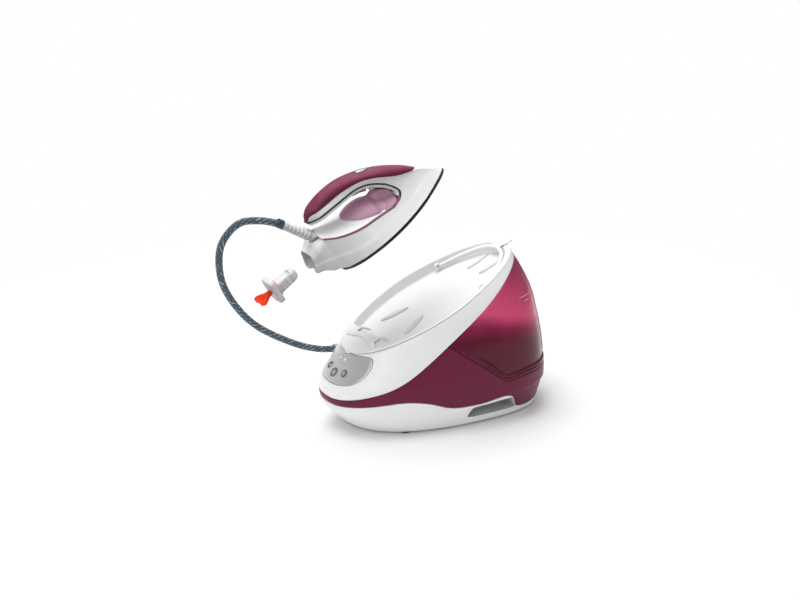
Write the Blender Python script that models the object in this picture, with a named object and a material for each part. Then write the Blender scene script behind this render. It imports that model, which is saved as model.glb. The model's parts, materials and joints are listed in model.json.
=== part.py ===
"""Steam generator iron: a pressurised base with a sloping rest tray, and an iron lifted clear of it.

Units here are millimetres until a mesh is made, which scales them to metres. +Z is up, the control
panel faces -Y and the water tank is at +Y. The base stands on z = 0, apart from its rubber feet.
"""

import math

import bmesh
import bpy
from mathutils import Matrix, Vector

MM = 0.001
GAP = 0.35

# ---------------------------------------------------------------- base: driving dimensions
PLAN_MID_Y = 60.0
FRONT_POWER = 2.3
REAR_POWER = 2.5
HEIGHTS = (0, 15, 40, 75, 110, 150, 200, 262)
FRONT_Y = (-155, -174, -195, -195, -167, -142, -114, -72)
REAR_Y = (182, 184, 188, 188, 186, 179, 167, 140)
HALF_WIDTH = (107, 112, 120, 122, 118, 111, 95, 52)
AROUND = 48
WALL = 2.6
BAND_ROWS = 3

RIM_START_Y = -150.0
RIM_START_Z = 127.6
RIM_PITCH = math.radians(24.2)

COVER_LINE = ((-197, 58), (-166, 67), (-125, 81), (-88, 101), (-29, 143), (43, 190), (97, 224), (150, 254))
TRAY_LINE = ((-197, 48), (-157, 54), (-110, 59), (-72, 53), (-32, 39), (20, 36), (80, 38), (97, 13),
             (190, 11))
SEAM_FRONT_Y = -30.0
SEAM_LOW_Y = 67.0
SEAM_FRONT_Z = 138.0
SEAM_LOW_Z = 66.0
SEAM_REAR_Z = 70.0

FLOOR_THICKNESS = 3.0
FOOT_RADIUS = 9.0
FOOT_DROP = 3.0
FOOT_SPOTS = ((70, -92), (88, 100))
SCREW_SPOT = (58, 132)
SCREW_LENGTH = 16.0

RECESS_Y = (-2.0, 78.0)
RECESS_Z = (13.0, 33.0)
RECESS_DEPTH = 30.0

TRAY_DEPTH = 14.0
LEDGE_Y = -114.0
PAD_HEIGHT = 3.7
HOOP_PIVOT_Y = 52.0
HOOP_INSET = 15.0
HOOP_DROP = -6.0
HOOP_LIP = ((124, 11, -1.0), (129, 12, -1.0), (129.8, 15, 4.4), (145, 19, 4.4), (150, 17, 1.0),
            (155, 9, -6.0))
HOOP_LIP_CLEAR = 4.4
HOOP_LIP_THICKNESS = 2.8
HOOP_RADIUS = 3.0
HOOP_PIN_RADIUS = 2.2

PANEL_CENTRE_Z = 103.0
PANEL_THICKNESS = 2.4
PANEL_SLOPE = math.radians(51.7)

TANK_WALL = 2.5
TANK_DEPTH = 44.0
TANK_FRONT_DEPTH = 9.0
TANK_FLANGE = 2.4
TANK_FLANGE_HEIGHT = 10.0
TANK_CEILING = 20.5
TANK_SHOULDER = 6.4
LATCH_SPRING_Y = (165.0, 175.4)
LATCH_COILS = 4

# ---------------------------------------------------------------- iron: driving dimensions
IRON_PITCH = math.radians(32.0)
IRON_TIP = (0.0, 24.0, 395.0)
TIP_Y = 120.0
SOLE_THICKNESS = 5.0
SOLE_HALF = ((-116, 34), (-104, 47), (-82, 56), (-44, 61), (-1, 57.5), (48, 43.5), (92, 21.5), (112, 8.6),
             (120, 1.2))
SKIRT_HALF = ((-150, 20), (-135, 29), (-118, 38.5), (-104, 47), (-82, 56), (-44, 60.7), (-1, 57.2),
              (48, 43.1),
              (92, 21), (112, 8.2), (119, 1.2))
HANDLE_HALF = ((-150, 18), (-118, 15), (-105, 15), (-53, 17), (-11, 19.5), (17, 21), (40, 19), (59, 14),
               (79, 8),
               (100, 3.5), (119, 0.8))
SEAT_TOP = ((-116, 88), (-112, 94), (-106, 96.5), (-75, 97), (-50, 97), (-18, 92), (7, 81), (36, 61),
            (59, 48),
            (79, 38), (100, 21), (112, 11), (119, 6))
GRIP_TOP = ((-118, 92), (-115, 99), (-108, 103), (-101, 105), (-76, 111), (-42, 110), (-12, 101), (13, 90),
            (33, 79), (61, 58), (79, 40.5))
SIDE_POWER = ((-150, 0.5), (-118, 0.9), (-61, 1.05), (5, 2.0), (59, 1.7), (100, 1.2), (119, 1.0))
HOUSING_TOP = 61.0
HOUSING_END_Y = -150.0
EYE_UPPER = ((-118, 89), (-79, 89.4), (-53, 89), (-28, 87), (-11, 82), (4, 73), (17, 62))
EYE_FRONT = ((27, 48), (30, 38), (22, 31.5))
EYE_LOWER = ((5, 29), (-29, 35), (-61, 40), (-95, 49), (-117, 60))
TRIM_OFFSET = (0.3, 1.7)
LINER_OFFSET = (2.0, 6.4)
DECK_LIFT = 2.8
DECK_CROWN = 8.0

CORD_PIVOT = (0.0, -120.0, 63.0)
COLLECTOR_Z = 37.0
COLLECTOR_OUT = 62.0
FLANGE_SIZE = (31.0, 10.0, 43.0)
BARREL_SIZE = (22.0, 38.0, 22.0)
SEAL_DIRECTIONS = [(math.sin(math.pi * i / 12), math.cos(math.pi * i / 12)) for i in range(24)]

HOSE_RADIUS = 5.5
HOSE_PATH = ((-9, -296, 356), (-20, -327, 352), (-31, -351, 318), (-44, -347, 263), (-54, -321, 213),
             (-64, -280, 168), (-76, -215, 125), (-83, -169, 104), (-85, -138, 97), (-84, -108, 93))
GUARD_LENGTH = 56.0
HOSE_PORT = ((0, -30), (11, -30), (11, 30), (0, 30))


# ---------------------------------------------------------------- curves and surfaces
def value_on(points, x):
    """Cubic Hermite curve through (x, value) points, with average slopes at the points."""
    x = min(max(x, points[0][0]), points[-1][0])
    last = len(points) - 1
    slopes = []
    for i in range(last + 1):
        before, after = points[max(i - 1, 0)], points[min(i + 1, last)]
        slopes.append((after[1] - before[1]) / (after[0] - before[0]))
    i = 0
    while i < last - 1 and x > points[i + 1][0]:
        i += 1
    (x0, v0), (x1, v1) = points[i], points[i + 1]
    span = x1 - x0
    t = (x - x0) / span
    return (
        (2 * t**3 - 3 * t**2 + 1) * v0
        + (t**3 - 2 * t**2 + t) * span * slopes[i]
        + (3 * t**2 - 2 * t**3) * v1
        + (t**3 - t**2) * span * slopes[i + 1]
    )


def signed_power(value, power):
    return math.copysign(abs(value) ** power, value)


def body_point(theta, z, inset=0.0):
    """A point of the base's outer form. theta is 0 at the front, 90 degrees at +X and 180 at the rear."""
    front = value_on(tuple(zip(HEIGHTS, FRONT_Y)), z) + inset
    rear = value_on(tuple(zip(HEIGHTS, REAR_Y)), z) - inset
    half = value_on(tuple(zip(HEIGHTS, HALF_WIDTH)), z) - inset
    power = 2 / (FRONT_POWER if math.cos(theta) > 0 else REAR_POWER)
    reach = PLAN_MID_Y - front if math.cos(theta) > 0 else rear - PLAN_MID_Y
    return Vector((
        half * signed_power(math.sin(theta), power),
        PLAN_MID_Y - reach * signed_power(math.cos(theta), power),
        z,
    ))


def front_point(x, z, inset=0.0):
    """The point of the base's front face at this x and height."""
    front = value_on(tuple(zip(HEIGHTS, FRONT_Y)), z) + inset
    half = value_on(tuple(zip(HEIGHTS, HALF_WIDTH)), z) - inset
    side = min(abs(x) / half, 1.0)
    return Vector((x, PLAN_MID_Y - (PLAN_MID_Y - front) * (1 - side**FRONT_POWER) ** (1 / FRONT_POWER), z))


def rim_height(y):
    return RIM_START_Z + (y - RIM_START_Y) * math.tan(RIM_PITCH)


def cover_height(y):
    return min(value_on(COVER_LINE, y), rim_height(y) - 4.0)


def tray_height(y):
    return value_on(TRAY_LINE, y)


def seam_height(y):
    """Lower edge of the water tank: a slanted line at the sides, level round the rear."""
    if y > SEAM_LOW_Y:
        return min(SEAM_LOW_Z + (y - SEAM_LOW_Y) * 0.1, SEAM_REAR_Z)
    along = (y - SEAM_FRONT_Y) / (SEAM_LOW_Y - SEAM_FRONT_Y)
    return SEAM_FRONT_Z + (SEAM_LOW_Z - SEAM_FRONT_Z) * along


def shell_top_height(y):
    return min(cover_height(y), seam_height(y))


def on_line(theta, line, inset=0.0):
    """Height at which the outer form crosses a line given as height over y."""
    low, high = 0.0, 262.0
    for _ in range(30):
        middle = (low + high) / 2
        if line(body_point(theta, middle, inset).y) > middle:
            low = middle
        else:
            high = middle
    return (low + high) / 2


def angles(count=AROUND):
    return [2 * math.pi * i / count for i in range(count)]


def rim_point(theta, inset, lift, ledge=False):
    """A point at this inset from the rim's outline, lifted square to the rim plane."""
    height = on_line(theta, rim_height)
    point = body_point(theta, height, inset)
    if ledge:
        point.y = max(point.y, LEDGE_Y)
    point.z = rim_height(point.y)
    return point + lift * Vector((0, -math.sin(RIM_PITCH), math.cos(RIM_PITCH)))


def on_rim(x, y, lift):
    return Vector((x, y, rim_height(y))) + lift * Vector((0, -math.sin(RIM_PITCH), math.cos(RIM_PITCH)))


# ---------------------------------------------------------------- materials and objects
def material(name, colour, roughness, metallic=0.0):
    made = bpy.data.materials.new(name)
    made.use_nodes = True
    shader = made.node_tree.nodes["Principled BSDF"]
    shader.inputs["Base Color"].default_value = (*colour, 1)
    shader.inputs["Roughness"].default_value = roughness
    shader.inputs["Metallic"].default_value = metallic
    made.diffuse_color = (*colour, 1)
    return made


def make_materials():
    return {
        "white": material("white_abs", (0.84, 0.84, 0.85), 0.35),
        "burgundy": material("burgundy_abs", (0.14, 0.028, 0.05), 0.38),
        "tank": material("tinted_tank", (0.45, 0.04, 0.11), 0.15),
        "grip": material("grip_polymer", (0.25, 0.04, 0.085), 0.55),
        "mauve": material("mauve_insert", (0.47, 0.24, 0.32), 0.45),
        "red": material("red_control", (0.33, 0.02, 0.05), 0.35),
        "orange": material("orange_knob", (0.85, 0.05, 0.01), 0.35),
        "panel": material("silver_panel", (0.45, 0.46, 0.47), 0.3, 0.6),
        "grey": material("grey_plastic", (0.3, 0.31, 0.32), 0.45),
        "dark": material("dark_polymer", (0.03, 0.025, 0.025), 0.5),
        "rubber": material("black_rubber", (0.02, 0.02, 0.02), 0.8),
        "hose": material("braided_hose", (0.07, 0.11, 0.15), 0.85),
        "sole": material("coated_sole", (0.06, 0.05, 0.045), 0.25, 0.7),
        "aluminium": material("cast_aluminium", (0.6, 0.6, 0.6), 0.4, 1.0),
        "steel": material("stainless_steel", (0.55, 0.55, 0.55), 0.3, 1.0),
        "brass": material("brass", (0.6, 0.42, 0.15), 0.3, 1.0),
        "copper": material("copper_winding", (0.55, 0.25, 0.12), 0.4, 1.0),
        "board": material("circuit_board", (0.02, 0.16, 0.06), 0.5),
        "silicone": material("silicone_tube", (0.75, 0.75, 0.72), 0.6),
    }


def frame(name, location, rotation=(0, 0, 0), parent=None):
    empty = bpy.data.objects.new(name, None)
    empty.empty_display_size = 0.02
    empty.location = Vector(location) * MM
    empty.rotation_euler = rotation
    empty.parent = parent
    bpy.context.scene.collection.objects.link(empty)
    return empty


def mesh_object(name, points, faces, look, origin=(0, 0, 0), parent=None, smooth=35):
    """An object from millimetre points, with its origin at a given point of the same frame."""
    origin = Vector(origin)
    mesh = bpy.data.meshes.new(name)
    mesh.from_pydata([(Vector(p) - origin) * MM for p in points], [], faces)
    work = bmesh.new()
    work.from_mesh(mesh)
    bmesh.ops.remove_doubles(work, verts=work.verts, dist=1e-6)
    bmesh.ops.recalc_face_normals(work, faces=work.faces)
    work.to_mesh(mesh)
    work.free()
    mesh.shade_smooth()
    mesh.set_sharp_from_angle(angle=math.radians(smooth))
    made = bpy.data.objects.new(name, mesh)
    made.location = origin * MM
    made.parent = parent
    if look is not None:
        mesh.materials.append(look)
    bpy.context.scene.collection.objects.link(made)
    return made


def rings_object(name, rings, look, closed=False, **options):
    """A solid through rings of equal length. The ends are capped, or the last ring joins the first."""
    size = len(rings[0])
    points = [p for ring in rings for p in ring]
    faces = []
    for i in range(len(rings) if closed else len(rings) - 1):
        here, there = i * size, (i + 1) % len(rings) * size
        for j in range(size):
            k = (j + 1) % size
            faces.append((here + j, here + k, there + k, there + j))
    if not closed:
        faces.append(tuple(range(size)))
        faces.append(tuple(range(len(points) - size, len(points))))
    return mesh_object(name, points, faces, look, **options)


def slab_object(name, outer, inner, look, **options):
    """A solid between two grids of points with the same rows and columns."""
    rows, columns = len(outer), len(outer[0])
    points = [p for row in outer for p in row] + [p for row in inner for p in row]
    back = rows * columns
    faces = []
    for i in range(rows - 1):
        for j in range(columns - 1):
            a = i * columns + j
            quad = (a, a + 1, a + columns + 1, a + columns)
            faces.append(quad)
            faces.append(tuple(back + q for q in reversed(quad)))
    border = list(range(columns))
    border += [i * columns + columns - 1 for i in range(1, rows)]
    border += [(rows - 1) * columns + j for j in range(columns - 2, -1, -1)]
    border += [i * columns for i in range(rows - 2, 0, -1)]
    for a, b in zip(border, border[1:] + border[:1]):
        faces.append((b, a, back + a, back + b))
    return mesh_object(name, points, faces, look, **options)


def lathe_points(profile, segments):
    rings = []
    for radius, height in profile:
        radius = max(radius, 0.0)
        rings.append([
            Vector((radius * math.cos(a), radius * math.sin(a), height)) for a in angles(segments)
        ])
    return rings


def lathe_object(name, profile, look, axis_matrix=None, segments=20, closed=False, **options):
    """A turned solid about Z, moved by axis_matrix. With closed set the profile is a ring's section."""
    rings = lathe_points(profile, segments)
    matrix = axis_matrix or Matrix()
    rings = [[matrix @ p for p in ring] for ring in rings]
    return rings_object(name, rings, look, closed=closed, **options)


def axis_frame(point, direction):
    """A matrix whose Z axis runs along a direction from a point."""
    turn = Vector((0, 0, 1)).rotation_difference(Vector(direction).normalized())
    return Matrix.Translation(Vector(point)) @ turn.to_matrix().to_4x4()


def box_points(low, high):
    return [Vector((x, y, z)) for z in (low[2], high[2]) for y in (low[1], high[1]) for x in (low[0],
                                                                                              high[0])]


BOX_FACES = ((0, 2, 3, 1), (4, 5, 7, 6), (0, 1, 5, 4), (2, 6, 7, 3), (0, 4, 6, 2), (1, 3, 7, 5))


def box_object(name, low, high, look, matrix=None, bevel=0.0, segments=2, **options):
    matrix = matrix or Matrix()
    made = mesh_object(name, [matrix @ p for p in box_points(low, high)], BOX_FACES, look, **options)
    if bevel:
        round_edges(made, bevel, segments)
    return made


def prism_object(name, outline, low, high, look, lift, **options):
    """A solid between two copies of an outline. lift(point, height) places each copy."""
    return rings_object(name, [[lift(p, h) for p in outline] for h in (low, high)], look, **options)


def sweep_rings(path, radius, sides=10):
    """Circles along a path, square to it and turned as little as possible."""
    points = [Vector(p) for p in path]
    rings = []
    side = None
    for i, point in enumerate(points):
        along = (points[min(i + 1, len(points) - 1)] - points[max(i - 1, 0)]).normalized()
        if side is None:
            side = along.orthogonal().normalized()
        side = (side - along * side.dot(along)).normalized()
        other = along.cross(side)
        width = radius(i / (len(points) - 1)) if callable(radius) else radius
        rings.append([point + width * (side * math.cos(a) + other * math.sin(a)) for a in angles(sides)])
    return rings


def smooth_path(points, steps):
    """Points along a Catmull-Rom curve."""
    points = [Vector(p) for p in points]
    ends = [2 * points[0] - points[1]] + points + [2 * points[-1] - points[-2]]
    path = []
    for i in range(len(points) - 1):
        a, b, c, d = ends[i:i + 4]
        for k in range(steps):
            t = k / steps
            square, cube = 2 * a - 5 * b + 4 * c - d, 3 * b - a - 3 * c + d
            path.append(0.5 * (2 * b + (c - a) * t + square * t**2 + cube * t**3))
    path.append(points[-1])
    return path


def tube_object(name, points, radius, look, steps=4, sides=10, **options):
    return rings_object(name, sweep_rings(smooth_path(points, steps), radius, sides), look, **options)


def round_edges(made, width, segments=2):
    bevel = made.modifiers.new("edges", "BEVEL")
    bevel.width = width * MM
    bevel.segments = segments
    bevel.limit_method = "ANGLE"
    bevel.angle_limit = math.radians(40)
    return bevel


def cut(target, cutter, operation="DIFFERENCE"):
    """Cuts or joins a helper object, which is left out of the model."""
    cutter.hide_render = True
    cutter.display_type = "WIRE"
    step = target.modifiers.new(cutter.name, "BOOLEAN")
    step.operation = operation
    step.object = cutter
    step.solver = "EXACT"
    return step


# ---------------------------------------------------------------- base: casing
def band_rings(bottom, top, inset, rows):
    """Rings of the outer form between two height lines."""
    rings = []
    for row in range(rows + 1):
        ring = []
        for theta in angles():
            low, high = bottom(theta, inset), top(theta, inset)
            ring.append(body_point(theta, low + (high - low) * row / rows, inset))
        rings.append(ring)
    return rings


def level(height):
    return lambda theta, inset: height


def below(line):
    return lambda theta, inset: on_line(theta, line) - GAP / 2


def above(line):
    return lambda theta, inset: on_line(theta, line) + GAP / 2


def build_bottom_tray(looks):
    outer = band_rings(level(0.0), below(tray_height), 0.0, BAND_ROWS)
    inner = band_rings(level(FLOOR_THICKNESS), below(tray_height), WALL, BAND_ROWS)
    tray = rings_object("bottom_tray", outer + inner[::-1], looks["white"])
    post_low, post_high = (-11, 160, FLOOR_THICKNESS - 1), (11, LATCH_SPRING_Y[0] - GAP, 63)
    cut(tray, box_object("latch_post", post_low, post_high, None), "UNION")
    for side, side_name in ((1, "right"), (-1, "left")):
        spot = Matrix.Translation(Vector((side * SCREW_SPOT[0], SCREW_SPOT[1], 0)))
        foot, top = FLOOR_THICKNESS - 0.6, SCREW_LENGTH + 3
        boss = ((0, foot), (6, foot), (6, top), (0, top))
        bore = ((0, -2), (5.2, -2), (5.2, 2.0), (2.4, 2.0), (2.4, top - 2), (0, top - 2))
        screw = ((0, 0.5), (2.6, 0.5), (4.6, 0.9), (4.6, 1.65), (2.0, 1.65), (2.0, SCREW_LENGTH),
                 (0, SCREW_LENGTH))
        cut(tray, lathe_object("screw_boss_" + side_name, boss, None, spot, segments=12), "UNION")
        cut(tray, lathe_object("screw_bore_" + side_name, bore, None, spot, segments=12))
        lathe_object("base_screw_" + side_name, screw, looks["steel"], spot, segments=12)
    for side in (1, -1):
        name = "recess_right" if side > 0 else "recess_left"
        inner_x = side * (body_point(math.pi / 2, 20).x - RECESS_DEPTH)
        outer_x = side * 140.0
        block_low = (min(inner_x, side * 105) - 2, RECESS_Y[0] - 2.5, FLOOR_THICKNESS - 1)
        block_high = (max(inner_x, side * 105) + 2, RECESS_Y[1] + 2.5, RECESS_Z[1] + 2.2)
        block = box_object(name + "_walls", block_low, block_high, None)
        cut(tray, block, "UNION")
        low = (min(inner_x, outer_x), RECESS_Y[0], RECESS_Z[0])
        high = (max(inner_x, outer_x), RECESS_Y[1], RECESS_Z[1])
        cut(tray, box_object(name, low, high, None))
    return tray


def build_body_shell(looks):
    outer = band_rings(above(tray_height), below(shell_top_height), 0.0, BAND_ROWS)
    inner = band_rings(above(tray_height), below(shell_top_height), WALL, BAND_ROWS)
    shell = rings_object("body_shell", outer + inner[::-1], looks["burgundy"], closed=True)
    cut(shell, box_object("latch_opening", (-21, 170, 49.4), (21, 200, 62.6), None))
    for side, name in ((1, "recess_clear_right"), (-1, "recess_clear_left")):
        low = (min(side * 80, side * 140), RECESS_Y[0] - 3, 0)
        high = (max(side * 80, side * 140), RECESS_Y[1] + 3, RECESS_Z[1] + 2.7)
        cut(shell, box_object(name, low, high, None))
    cut(shell, lathe_object("shell_port", HOSE_PORT, None, hose_port_frame()))


def build_top_cover(looks):
    outer = band_rings(above(cover_height), rim_line, 0.0, BAND_ROWS)
    inner = band_rings(above(cover_height), rim_line, WALL, BAND_ROWS)
    cover = rings_object("top_cover", outer + inner[::-1], looks["white"], closed=True)
    opening = prism_object("panel_opening", panel_outline(0.5), -18, 18, None,
                           lambda p, h: front_point(*p) + h * panel_normal())
    cut(cover, opening)
    cut(cover, lathe_object("cover_port", HOSE_PORT, None, hose_port_frame()))


def rim_line(theta, inset):
    return on_line(theta, rim_height, inset)


TRAY_SECTION = ((16, -16.4), (9.6, -13.6), (7.6, 0.35), (0.2, 0.35), (0.9, 2.6), (3.6, 3.8), (7.6, 3.4),
                (9.6, 1.6),
                (12, -12), (15, -14))


def build_rest_tray(looks):
    rings = []
    for inset, lift in TRAY_SECTION:
        inner = inset > 7.5
        rings.append([rim_point(theta, inset, lift, ledge=inner) for theta in angles()])
    return rings_object("rest_tray", rings, looks["white"])


def leaf_outline(centre, length, width, turn, points=12):
    """A leaf-shaped outline in the tray's own plane, as x and y."""
    outline = []
    for a in angles(points):
        along = math.cos(a) * length / 2
        across = signed_power(math.sin(a), 1.3) * width / 2
        outline.append((
            centre[0] + along * math.sin(turn) + across * math.cos(turn),
            centre[1] + along * math.cos(turn) - across * math.sin(turn),
        ))
    return outline


def build_rest_pads(looks):
    spots = (
        ("front_left", (-31, -57), 46, 10, 0.34),
        ("front_right", (31, -57), 46, 10, -0.34),
        ("rear_left", (-18, 98), 44, 9, -0.05),
        ("rear_right", (18, 98), 44, 9, 0.05),
    )
    floor = -TRAY_DEPTH
    for name, centre, length, width, turn in spots:
        outline = leaf_outline(centre, length, width, turn)
        inner = leaf_outline(centre, length * 0.82, width * 0.5, turn)
        rings = [
            [on_rim(x, y, floor + GAP) for x, y in outline],
            [on_rim(x, y, floor + PAD_HEIGHT * 0.6) for x, y in outline],
            [on_rim(x, y, floor + PAD_HEIGHT) for x, y in inner],
        ]
        rings_object("rest_pad_" + name, rings, looks["silicone"])


HORN_SECTIONS = ((-117, 25, 33, 4.8, 5.7), (-113.6, 25, 33, 4.8, 5.7), (-113.2, 25, 32.5, -2.0, 5.6),
                 (-108, 25.5, 31.5, -6.5, 2.0), (-103, 26, 30, -9.0, -4.0))


def build_heel_stop(looks):
    """The fork on the tray's front edge that the iron's heel slides between."""
    right = ((19, -129), (38, -132), (36, -114), (24, -114), (18, -120))
    outline = right + tuple((-x, y) for x, y in right[::-1])
    stop = rings_object("heel_stop", [[on_rim(x, y, h) for x, y in outline] for h in (4.5, 6.0)],
                        looks["white"])
    for side, side_name in ((1, "right"), (-1, "left")):
        horn = []
        for y, inner, outer, low, high in HORN_SECTIONS:
            corners = ((inner, low), (outer, low), (outer, high), (inner, high))
            horn.append([on_rim(side * x, y, h) for x, h in corners])
        cut(stop, rings_object("heel_horn_" + side_name, horn, None), "UNION")


# ---------------------------------------------------------------- base: control panel
def panel_outline(grow=0.0):
    """Outline of the control panel as x and height, symmetric about x = 0."""
    right = ((0, 81), (31, 81.5), (46, 85), (54, 92), (57.5, 102), (57, 115), (53, 124), (44, 126), (24, 124),
             (0, 122.5))
    points = list(right) + [(-x, z) for x, z in right[-2:0:-1]]
    grown = []
    for x, z in points:
        away = Vector((x, (z - PANEL_CENTRE_Z) * 1.8))
        away = away.normalized() * grow
        grown.append((x + away.x, z + away.y))
    return grown


def panel_normal():
    return Vector((0, -math.sin(PANEL_SLOPE), math.cos(PANEL_SLOPE)))


def build_control_panel(looks):
    rings = []
    steps = (1.0, 0.66, 0.33)
    for part, order in ((0.35, steps[::-1]), (-PANEL_THICKNESS, steps)):
        for step in order:
            ring = []
            for x, z in panel_outline():
                px, pz = x * step, PANEL_CENTRE_Z + (z - PANEL_CENTRE_Z) * step
                ring.append(front_point(px, pz) + part * panel_normal())
            rings.append(ring)
    panel = rings_object("control_panel", rings, looks["panel"])
    for name, x, z, radius, look in BUTTONS:
        bore = ((0, -12), (radius + 0.4, -12), (radius + 0.4, 12), (0, 12))
        spot = axis_frame(front_point(x, z), panel_normal())
        cut(panel, lathe_object(name + "_hole", bore, None, spot, segments=20))
    seat = ((0, -0.9), (15.4, -0.9), (15.4, 12), (0, 12))
    cut(panel, lathe_object("lens_seat", seat, None, lens_frame(), segments=20))
    return panel


BUTTONS = (
    ("steam_button", 0, 93, 6.2, "grey"),
    ("eco_button", -22, 97, 4.6, "grey"),
    ("power_button", 22, 97, 4.6, "grey"),
)


def lens_frame():
    squash = Matrix.Diagonal((1.0, 0.34, 1.0, 1.0))
    return axis_frame(front_point(0, 113), panel_normal()) @ squash


def build_buttons(looks):
    for name, x, z, radius, look in BUTTONS:
        spot = front_point(x, z)
        profile = ((0, -6), (radius, -6), (radius, 0.7), (radius - 0.8, 1.3), (radius * 0.6, 1.0), (0, 0.8))
        lathe_object(name, profile, looks[look], axis_frame(spot, panel_normal()), origin=spot)
    profile = ((0, -0.55), (15, -0.55), (15, 0.3), (14.4, 0.6), (0, 0.7))
    lathe_object("display_lens", profile, looks["grey"], lens_frame())
    spot = front_point(0, 100) - panel_normal() * 13
    board = axis_frame(spot, panel_normal())
    box_object("control_board", (-42, -17, -0.8), (42, 17, 0.8), looks["board"], matrix=board)


# ---------------------------------------------------------------- base: lock hoop
def hoop_angle():
    """The angle at which the hoop's arm reaches its pivot."""
    low, high = math.radians(60), math.radians(120)
    for _ in range(30):
        middle = (low + high) / 2
        if rim_point(middle, HOOP_INSET, 0).y < HOOP_PIVOT_Y:
            low = middle
        else:
            high = middle
    return high


def build_lock_hoop(looks):
    start = hoop_angle()
    pivot = on_rim(0, HOOP_PIVOT_Y, HOOP_DROP)
    path = []
    for i in range(15):
        share = i / 14
        theta = start + (2 * math.pi - 2 * start) * share
        towards_pivot = abs(2 * share - 1) ** 1.5
        path.append(rim_point(theta, HOOP_INSET + 2 * towards_pivot, HOOP_DROP * towards_pivot))
    half_width = path[0].x
    rings = sweep_rings(path, HOOP_RADIUS, 8)
    hoop = rings_object("lock_hoop", rings, looks["white"], origin=pivot)
    for side, side_name in ((1, "right"), (-1, "left")):
        eye = lathe_object(
            "hoop_eye_" + side_name,
            ((HOOP_PIN_RADIUS + GAP, -2.4), (6.0, -2.4), (6.0, 2.4), (HOOP_PIN_RADIUS + GAP, 2.4)), None,
            axis_frame(on_rim(side * half_width, HOOP_PIVOT_Y, HOOP_DROP),
                       (1, 0, 0)), segments=12, closed=True,
        )
        cut(hoop, eye, "UNION")
        spot = axis_frame(on_rim(side * half_width, HOOP_PIVOT_Y, HOOP_DROP), (1, 0, 0))
        bore = ((0, -6), (HOOP_PIN_RADIUS + GAP, -6), (HOOP_PIN_RADIUS + GAP, 6), (0, 6))
        pin = ((0, -4), (HOOP_PIN_RADIUS, -4), (HOOP_PIN_RADIUS, 4), (0, 4))
        cut(hoop, lathe_object("hoop_bore_" + side_name, bore, None, spot, segments=12))
        lathe_object("hoop_pin_" + side_name, pin, looks["steel"], spot, segments=12)
    lip = []
    for y, half, low in HOOP_LIP:
        high = (max(low, HOOP_LIP_CLEAR) if y < 148 else low) + HOOP_LIP_THICKNESS
        lip.append([on_rim(x, y, h) for x, h in ((-half, low), (half, low), (half, high), (-half, high))])
    cut(hoop, rings_object("hoop_lip", lip, None), "UNION")


# ---------------------------------------------------------------- base: hose and mains cord
def hose_port_frame():
    here, there = Vector(HOSE_PATH[-2]), Vector(HOSE_PATH[-1])
    return axis_frame(here.lerp(there, 0.3), there - here)


def build_hose_grommet(looks):
    bore = HOSE_RADIUS + 0.9
    profile = ((bore, -12), (9.4, -12), (10.4, -10), (10.4, 9), (9.4, 11), (bore, 11))
    lathe_object("hose_grommet", profile, looks["grey"], hose_port_frame(), closed=True)


def build_mains_cord(looks):
    """The mains cord, folded up in the left storage recess. Returns the passage it needs in the tray."""
    x, low, high = -101.0, 17.5, 28.5
    path = ((-84, 92, 20), (-91, 86, 20), (x, 70, low), (x, 30, low), (x, 8, low), (x, 3, 23), (x, 8, high),
            (x, 22, high), (x, 40, high - 1))
    tube_object("power_cord", path, 3.2, looks["grey"], steps=4, sides=8)
    passage = tube_object("cord_passage", path, 4.1, None, steps=4, sides=8)
    plug = axis_frame((x, 40, high - 1), (0, 1, 0))
    body = ((0, 1), (4.2, 1), (7, 8), (7.4, 24), (0, 24))
    flat = Matrix.Diagonal((1.0, 0.62, 1.0, 1.0))
    made = lathe_object("mains_plug", body, looks["grey"], plug @ flat, segments=14)
    for side in (1, -1):
        pin = lathe_object("plug_pin_%s" % ("a" if side > 0 else "b"),
                           ((0, 22), (1.6, 22), (1.6, 35), (0, 35)), None,
                           axis_frame((x + side * 4.0, 40, high - 1), (0, 1, 0)), segments=8)
        cut(made, pin, "UNION")
    return passage


# ---------------------------------------------------------------- base: water tank
def tank_depth(theta):
    """How deep the tank reaches in from the outer form: shallow cheeks, deep at the rear."""
    away = abs(math.degrees(theta) - 180.0)
    t = min(max((112.0 - away) / 62.0, 0.0), 1.0)
    return TANK_FRONT_DEPTH + (TANK_DEPTH - TANK_FRONT_DEPTH) * t * t * (3 - 2 * t)


def tank_angles():
    """The casing's own angles between the tank's two front ends, so that the two meet along one line."""
    start = front_angle()
    end = 2 * math.pi - start
    return [start] + [t for t in angles() if start + 0.03 < t < end - 0.03] + [end]


def front_angle():
    """The angle at which the tank's slanted seam meets the cover's edge."""
    low, high = math.radians(50), math.radians(90)
    for _ in range(30):
        middle = (low + high) / 2
        y = body_point(middle, on_line(middle, cover_height)).y
        if seam_height(y) > cover_height(y) - 9.0:
            low = middle
        else:
            high = middle
    return high


def tank_point(theta, share, inset, gap):
    """A point of the tank between the seam and the cover, kept below the tray's floor."""
    low = on_line(theta, seam_height) + gap
    high = on_line(theta, cover_height) - gap
    point = body_point(theta, low + (high - low) * share, inset)
    if inset > TANK_SHOULDER:
        ceiling = min(high, rim_height(point.y) - TANK_CEILING - gap)
        point = body_point(theta, low + (max(ceiling, low + 4) - low) * share, inset)
    return point


def tank_flange(theta):
    """How far the flange at the tank's foot stands out: it fades along the slanted seam."""
    away = abs(math.degrees(theta) - 180.0)
    t = min(max((100.0 - away) / 14.0, 0.0), 1.0)
    return TANK_FLANGE * t * t * (3 - 2 * t)


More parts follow.
